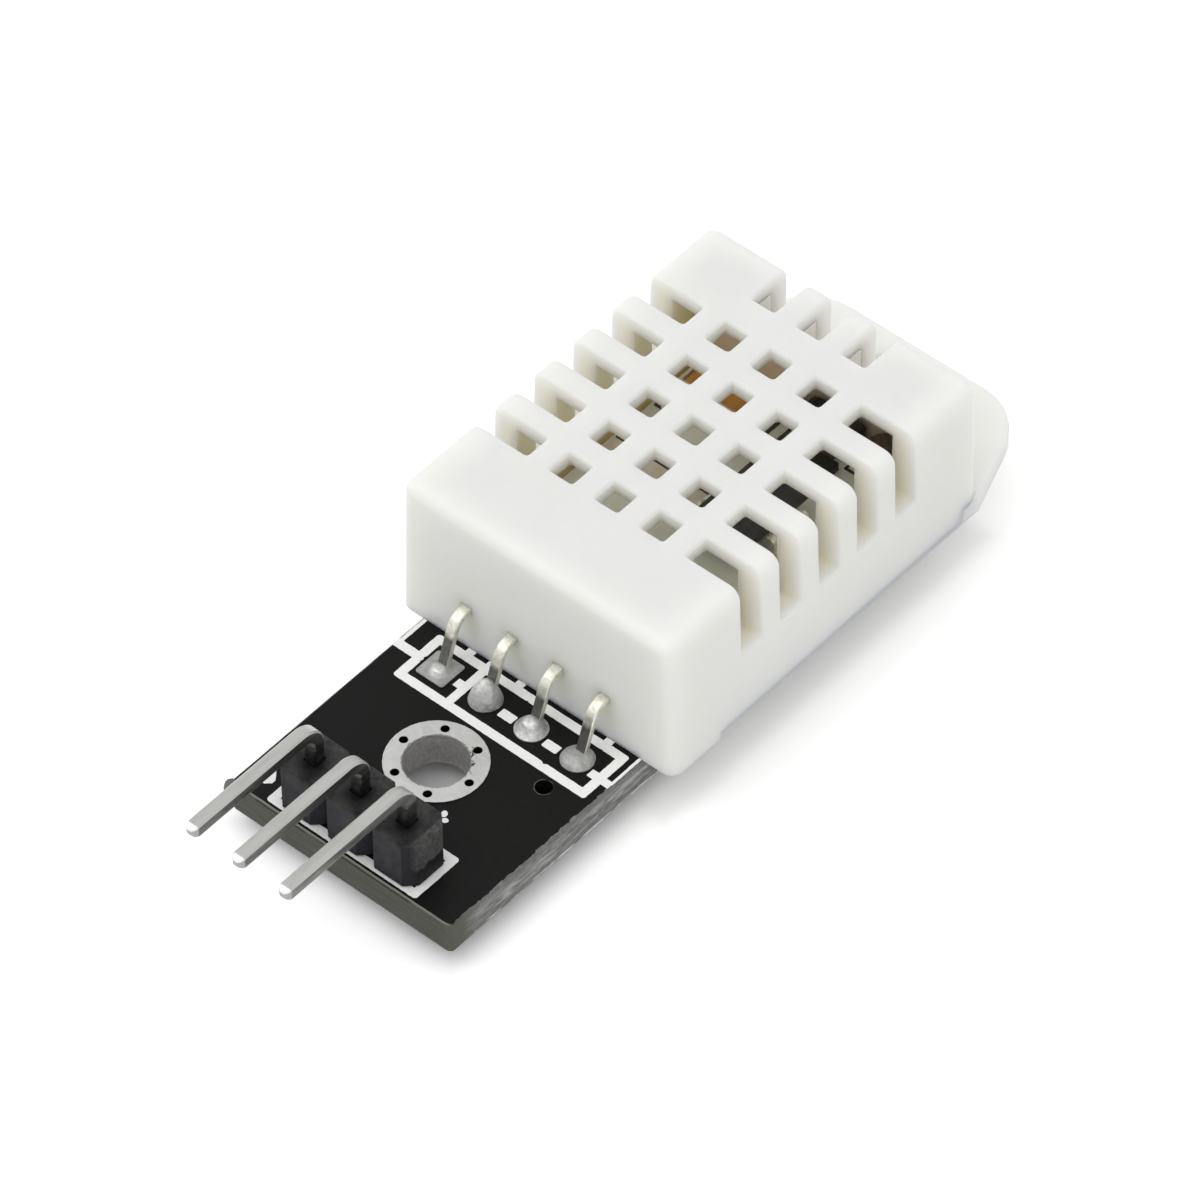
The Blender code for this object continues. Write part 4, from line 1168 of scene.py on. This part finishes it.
def flank(kind, height, foot, tip):
    # radius and height pairs of a mound, from its top to its foot
    if kind == "hollow":
        pairs = [(0.0, height), (tip * 0.45, height * 0.995), (tip * 0.8, height * 0.94)]
        for t in (i / 10 for i in range(11)):
            fall = (1 - t) ** jointLook["hollowShape"]
            pairs.append((tip + (foot - tip) * t, height * 0.82 * fall))
        return pairs
    inner, outer = jointLook["moundShape"][kind]
    steps = [i / 12 for i in range(1, 13)]
    return [(0.0, height)] + [(foot * t, height * (1 - t ** inner) ** outer) for t in steps]


def addLathe(shape, centre, profile, sides, lumps, seed):
    # profile is (radius, height) from the top to the bottom, both ends on the axis
    rings = []
    for radius, height in profile:
        if radius == 0:
            rings.append([shape.verts.new(Vector((*centre, height)) * mm)])
            continue
        ring = []
        for i in range(sides):
            turn = 2 * math.pi * i / sides
            place = Vector((math.cos(turn) * radius, math.sin(turn) * radius, height))
            push = 1 + lumps * wobble(place, 2.2, seed) + lumps * 0.4 * wobble(place, 6.0, seed)
            x, y = centre[0] + place.x * push, centre[1] + place.y * push
            ring.append(shape.verts.new(Vector((x, y, height)) * mm))
        rings.append(ring)
    joinRings(shape, rings)


def jointProfile(over, under):
    land, drill, foot = jointLook["land"], jointLook["drill"], jointLook["wallFoot"]
    top = boardLook["top"] + jointLook["gap"]
    crest = top + jointLook["landThick"]
    below = -jointLook["gap"] - jointLook["landThick"]
    upper = [(r, crest + h) for r, h in flank(*over[:4])] if over else [(0.0, crest)]
    lands = [(land, crest), (land, top), (drill, top), (drill, foot), (land, foot), (land, below)]
    lower = [(r, below - h) for r, h in flank(*under[:4])]
    return upper + lands + lower[::-1]


def makeJoints():
    look = jointLook
    for number in range(1, 8):
        lead = number <= len(look["over"])
        node = f"lead_solder_{number}" if lead else f"header_solder_{number - 4}"
        low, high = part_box(node)
        centre = ((low[0] + high[0]) / 2 / mm, (low[1] + high[1]) / 2 / mm)
        over = look["over"][number - 1] if lead else None
        shape = bmesh.new()
        lumps = over[4] if lead else look["under"][4]
        profile = jointProfile(over, look["under"])
        addLathe(shape, centre, profile, look["sides"], lumps, number * 3.7)
        if number == 1:
            half, thick, corner = look["square"]
            turns = ((-1, -1), (1, -1), (1, 1), (-1, 1))
            square = [(centre[0] + half * u, centre[1] + half * v) for u, v in turns]
            foot = boardLook["top"] + look["gap"]
            addPatch(shape, roundedPath(square, corner), foot, foot + thick)
        faceOutwards(shape)
        smoothByAngle(standIn(node, shape, "solder"), 50)


makeJoints()

platingLook = {"finish": "ringTin", "edge": 0.02 * mm}
housingLook = {"finish": "blackHousing", "edge": 0.03 * mm}
dress("hole_plating", **platingLook)
dress("header_housing", **housingLook)
print("joints, plated hole and header housing made")


# marks seen through the grille, flat on the inner board, in mm: (finish, x0, y0, x1, y1, height)
innerLook = {
    "floor": 3.84,
    "sunk": 0.01,
    "corner": 0.06,
    "marks": [
        # painted shadow: a dark strip where the humidity carrier's edge shades the board
        ("innerDarkStrip", -5.6, 11.6, 0.05, 11.86, 0.05),
        ("beigeTape", -5.6, 10.3, 0.05, 11.6, 0.03),
        ("innerDarkStrip", -0.95, 15.6, -0.78, 17.0, 0.05),
        ("innerDarkStrip", -0.3, 15.6, -0.14, 17.0, 0.05),
        ("innerDarkStrip", -5.6, 14.1, -5.1, 14.24, 0.05),
        ("innerDarkStrip", 2.96, 16.52, 3.6, 16.64, 0.05),
        ("innerDarkStrip", 2.96, 16.52, 3.08, 16.9, 0.05),
    ],
}


def makeInnerMarks():
    look = innerLook
    for finish in ("innerDarkStrip", "beigeTape"):
        shape = bmesh.new()
        for kind, x0, y0, x1, y1, tall in look["marks"]:
            if kind != finish:
                continue
            corners = [(x0, y0), (x1, y0), (x1, y1), (x0, y1)]
            path = roundedPath(corners, min(look["corner"], (x1 - x0) / 3, (y1 - y0) / 3))
            addPatch(shape, path, look["floor"] - look["sunk"], look["floor"] + tall)
        faceOutwards(shape)
        addPiece(finish + "s", shape, finish)


makeInnerMarks()

# nodes whose solids are right as they are get their finish only
carried = {
    "sensor_board": "innerLaminate",
    "humidity_carrier": "paleCeramic",
    "humidity_film": "amberFilm",
    "thermistor_bead": "beadEpoxy",
    "thermistor_wire_1": "leadTin",
    "thermistor_wire_2": "leadTin",
    "filter_capacitor": "capacitorBlue",
    "supply_capacitor": "partCeramic",
    "bias_resistor_1": "partCeramic",
    "bias_resistor_2": "resistorBlack",
    "pull_up_resistor": "resistorBlack",
}
carried.update({f"chip_lead_{number}": "leadTin" for number in range(1, 9)})
for node, finish in carried.items():
    mesh = nodes[node].data
    mesh.materials.clear()
    mesh.materials.append(finishes[finish])
print("inner parts finished")


stageLook = {
    "drop": 0.01 * mm,
    "size": 4.0,
    "bounce": 0.8,
    "colour": 1.0,
    # the floor's glow comes in from under the board's rim outwards, in mm past the footprint
    "glow": 0.15,
    "footprint": (-6.35, 5.85, -11.95, 19.0),
    "shade": (-1.2, 0.3),
    # past the board's and the sensor's outlines a painted glow on the floor thins the shadow out faster:
    # (left, right, front, rear) in mm
    "outlines": [(-6.35, 5.85, -11.95, 0.0), (-7.1, 7.1, 0.0, 20.8)],
    "lift": 0.13,
    "fade": 0.9,
    "world": 0.86,
    "sun": 0.55,
    "sunTurn": (math.radians(24), math.radians(-22), 0),
    "sunSize": math.radians(40),
}


def outsideOf(x, y, box):
    # how far a place lies outside an upright box, in mm
    left, right, front, rear = box
    return most(minus(x, right), minus(left, x), minus(y, rear), minus(front, y))


def makeFloor(height):
    bpy.ops.mesh.primitive_plane_add(size=stageLook["size"], location=(0, 0, height))
    floor = bpy.context.object
    floor.name = "studioFloor"
    finish = bpy.data.materials.new("studio floor")
    finish.use_nodes = True
    tree = finish.node_tree
    tree.nodes.clear()
    out = tree.nodes.new("ShaderNodeOutputMaterial")
    matt = tree.nodes.new("ShaderNodeBsdfDiffuse")
    glow = tree.nodes.new("ShaderNodeEmission")
    rays = tree.nodes.new("ShaderNodeLightPath").outputs
    seen = most(rays["Is Camera Ray"], rays["Is Glossy Ray"], rays["Is Transmission Ray"])
    link(blend(seen, grey(stageLook["bounce"]), grey(stageLook["colour"])), matt.inputs["Color"])
    x, y = axesOf(placeInMm(finish))[:2]
    # painted light: the floor's glow to the camera grows with the distance from the footprint and outlines
    under = between(outsideOf(x, y, stageLook["footprint"]), *stageLook["shade"])
    beyond = least(*(outsideOf(x, y, box) for box in stageLook["outlines"]))
    lift = times(between(beyond, 0.0, stageLook["fade"]), stageLook["lift"])
    strength = scaled(under, stageLook["glow"], lift)
    link(times(seen, strength), glow.inputs["Strength"])
    both = tree.nodes.new("ShaderNodeAddShader")
    link(matt.outputs[0], both.inputs[0])
    link(glow.outputs[0], both.inputs[1])
    link(both.outputs[0], out.inputs["Surface"])
    floor.data.materials.append(finish)


def makeLight():
    world = bpy.data.worlds.new("studio")
    bpy.context.scene.world = world
    world.use_nodes = True
    tree = world.node_tree
    sky = tree.nodes["Background"]
    sky.inputs["Color"].default_value = (1, 1, 1, 1)
    rays = tree.nodes.new("ShaderNodeLightPath").outputs
    seen = most(rays["Is Camera Ray"], rays["Is Transmission Ray"])
    # the sky is white to the camera and a little dimmer as a light
    strength = scaled(seen, 1.0 - stageLook["world"], stageLook["world"])
    link(strength, sky.inputs["Strength"])
    lamp = bpy.data.lights.new("window", "SUN")
    lamp.energy = stageLook["sun"]
    lamp.angle = stageLook["sunSize"]
    sun = bpy.data.objects.new("window", lamp)
    sun.rotation_euler = stageLook["sunTurn"]
    bpy.context.scene.collection.objects.link(sun)


# fitted to the photo, in metres
cameraLook = {
    "eye": (0.15532, -0.17336, 0.26516),
    "towards": (-0.44120, 0.50421, -0.74237),
    "right": (0.75603, 0.65451, -0.00478),
    "sensor": 36,
    "lens": 252.44,
    "clip": (0.01, 20),
}


def makeCamera():
    look = cameraLook
    towards = Vector(look["towards"])
    right = Vector(look["right"]).normalized()
    up = right.cross(towards).normalized()
    data = bpy.data.cameras.new("photo view")
    data.sensor_width = look["sensor"]
    data.lens = look["lens"]
    data.clip_start, data.clip_end = look["clip"]
    camera = bpy.data.objects.new("photo view", data)
    axes = (right, up, -towards, Vector(look["eye"]))
    camera.matrix_world = Matrix((*zip(*axes), (0, 0, 0, 1)))
    bpy.context.scene.collection.objects.link(camera)
    bpy.context.scene.camera = camera


makeFloor(packedBounds[0].z - stageLook["drop"])
makeLight()
makeCamera()
bpy.context.scene.view_settings.view_transform = "Standard"
print("floor, light and camera set")
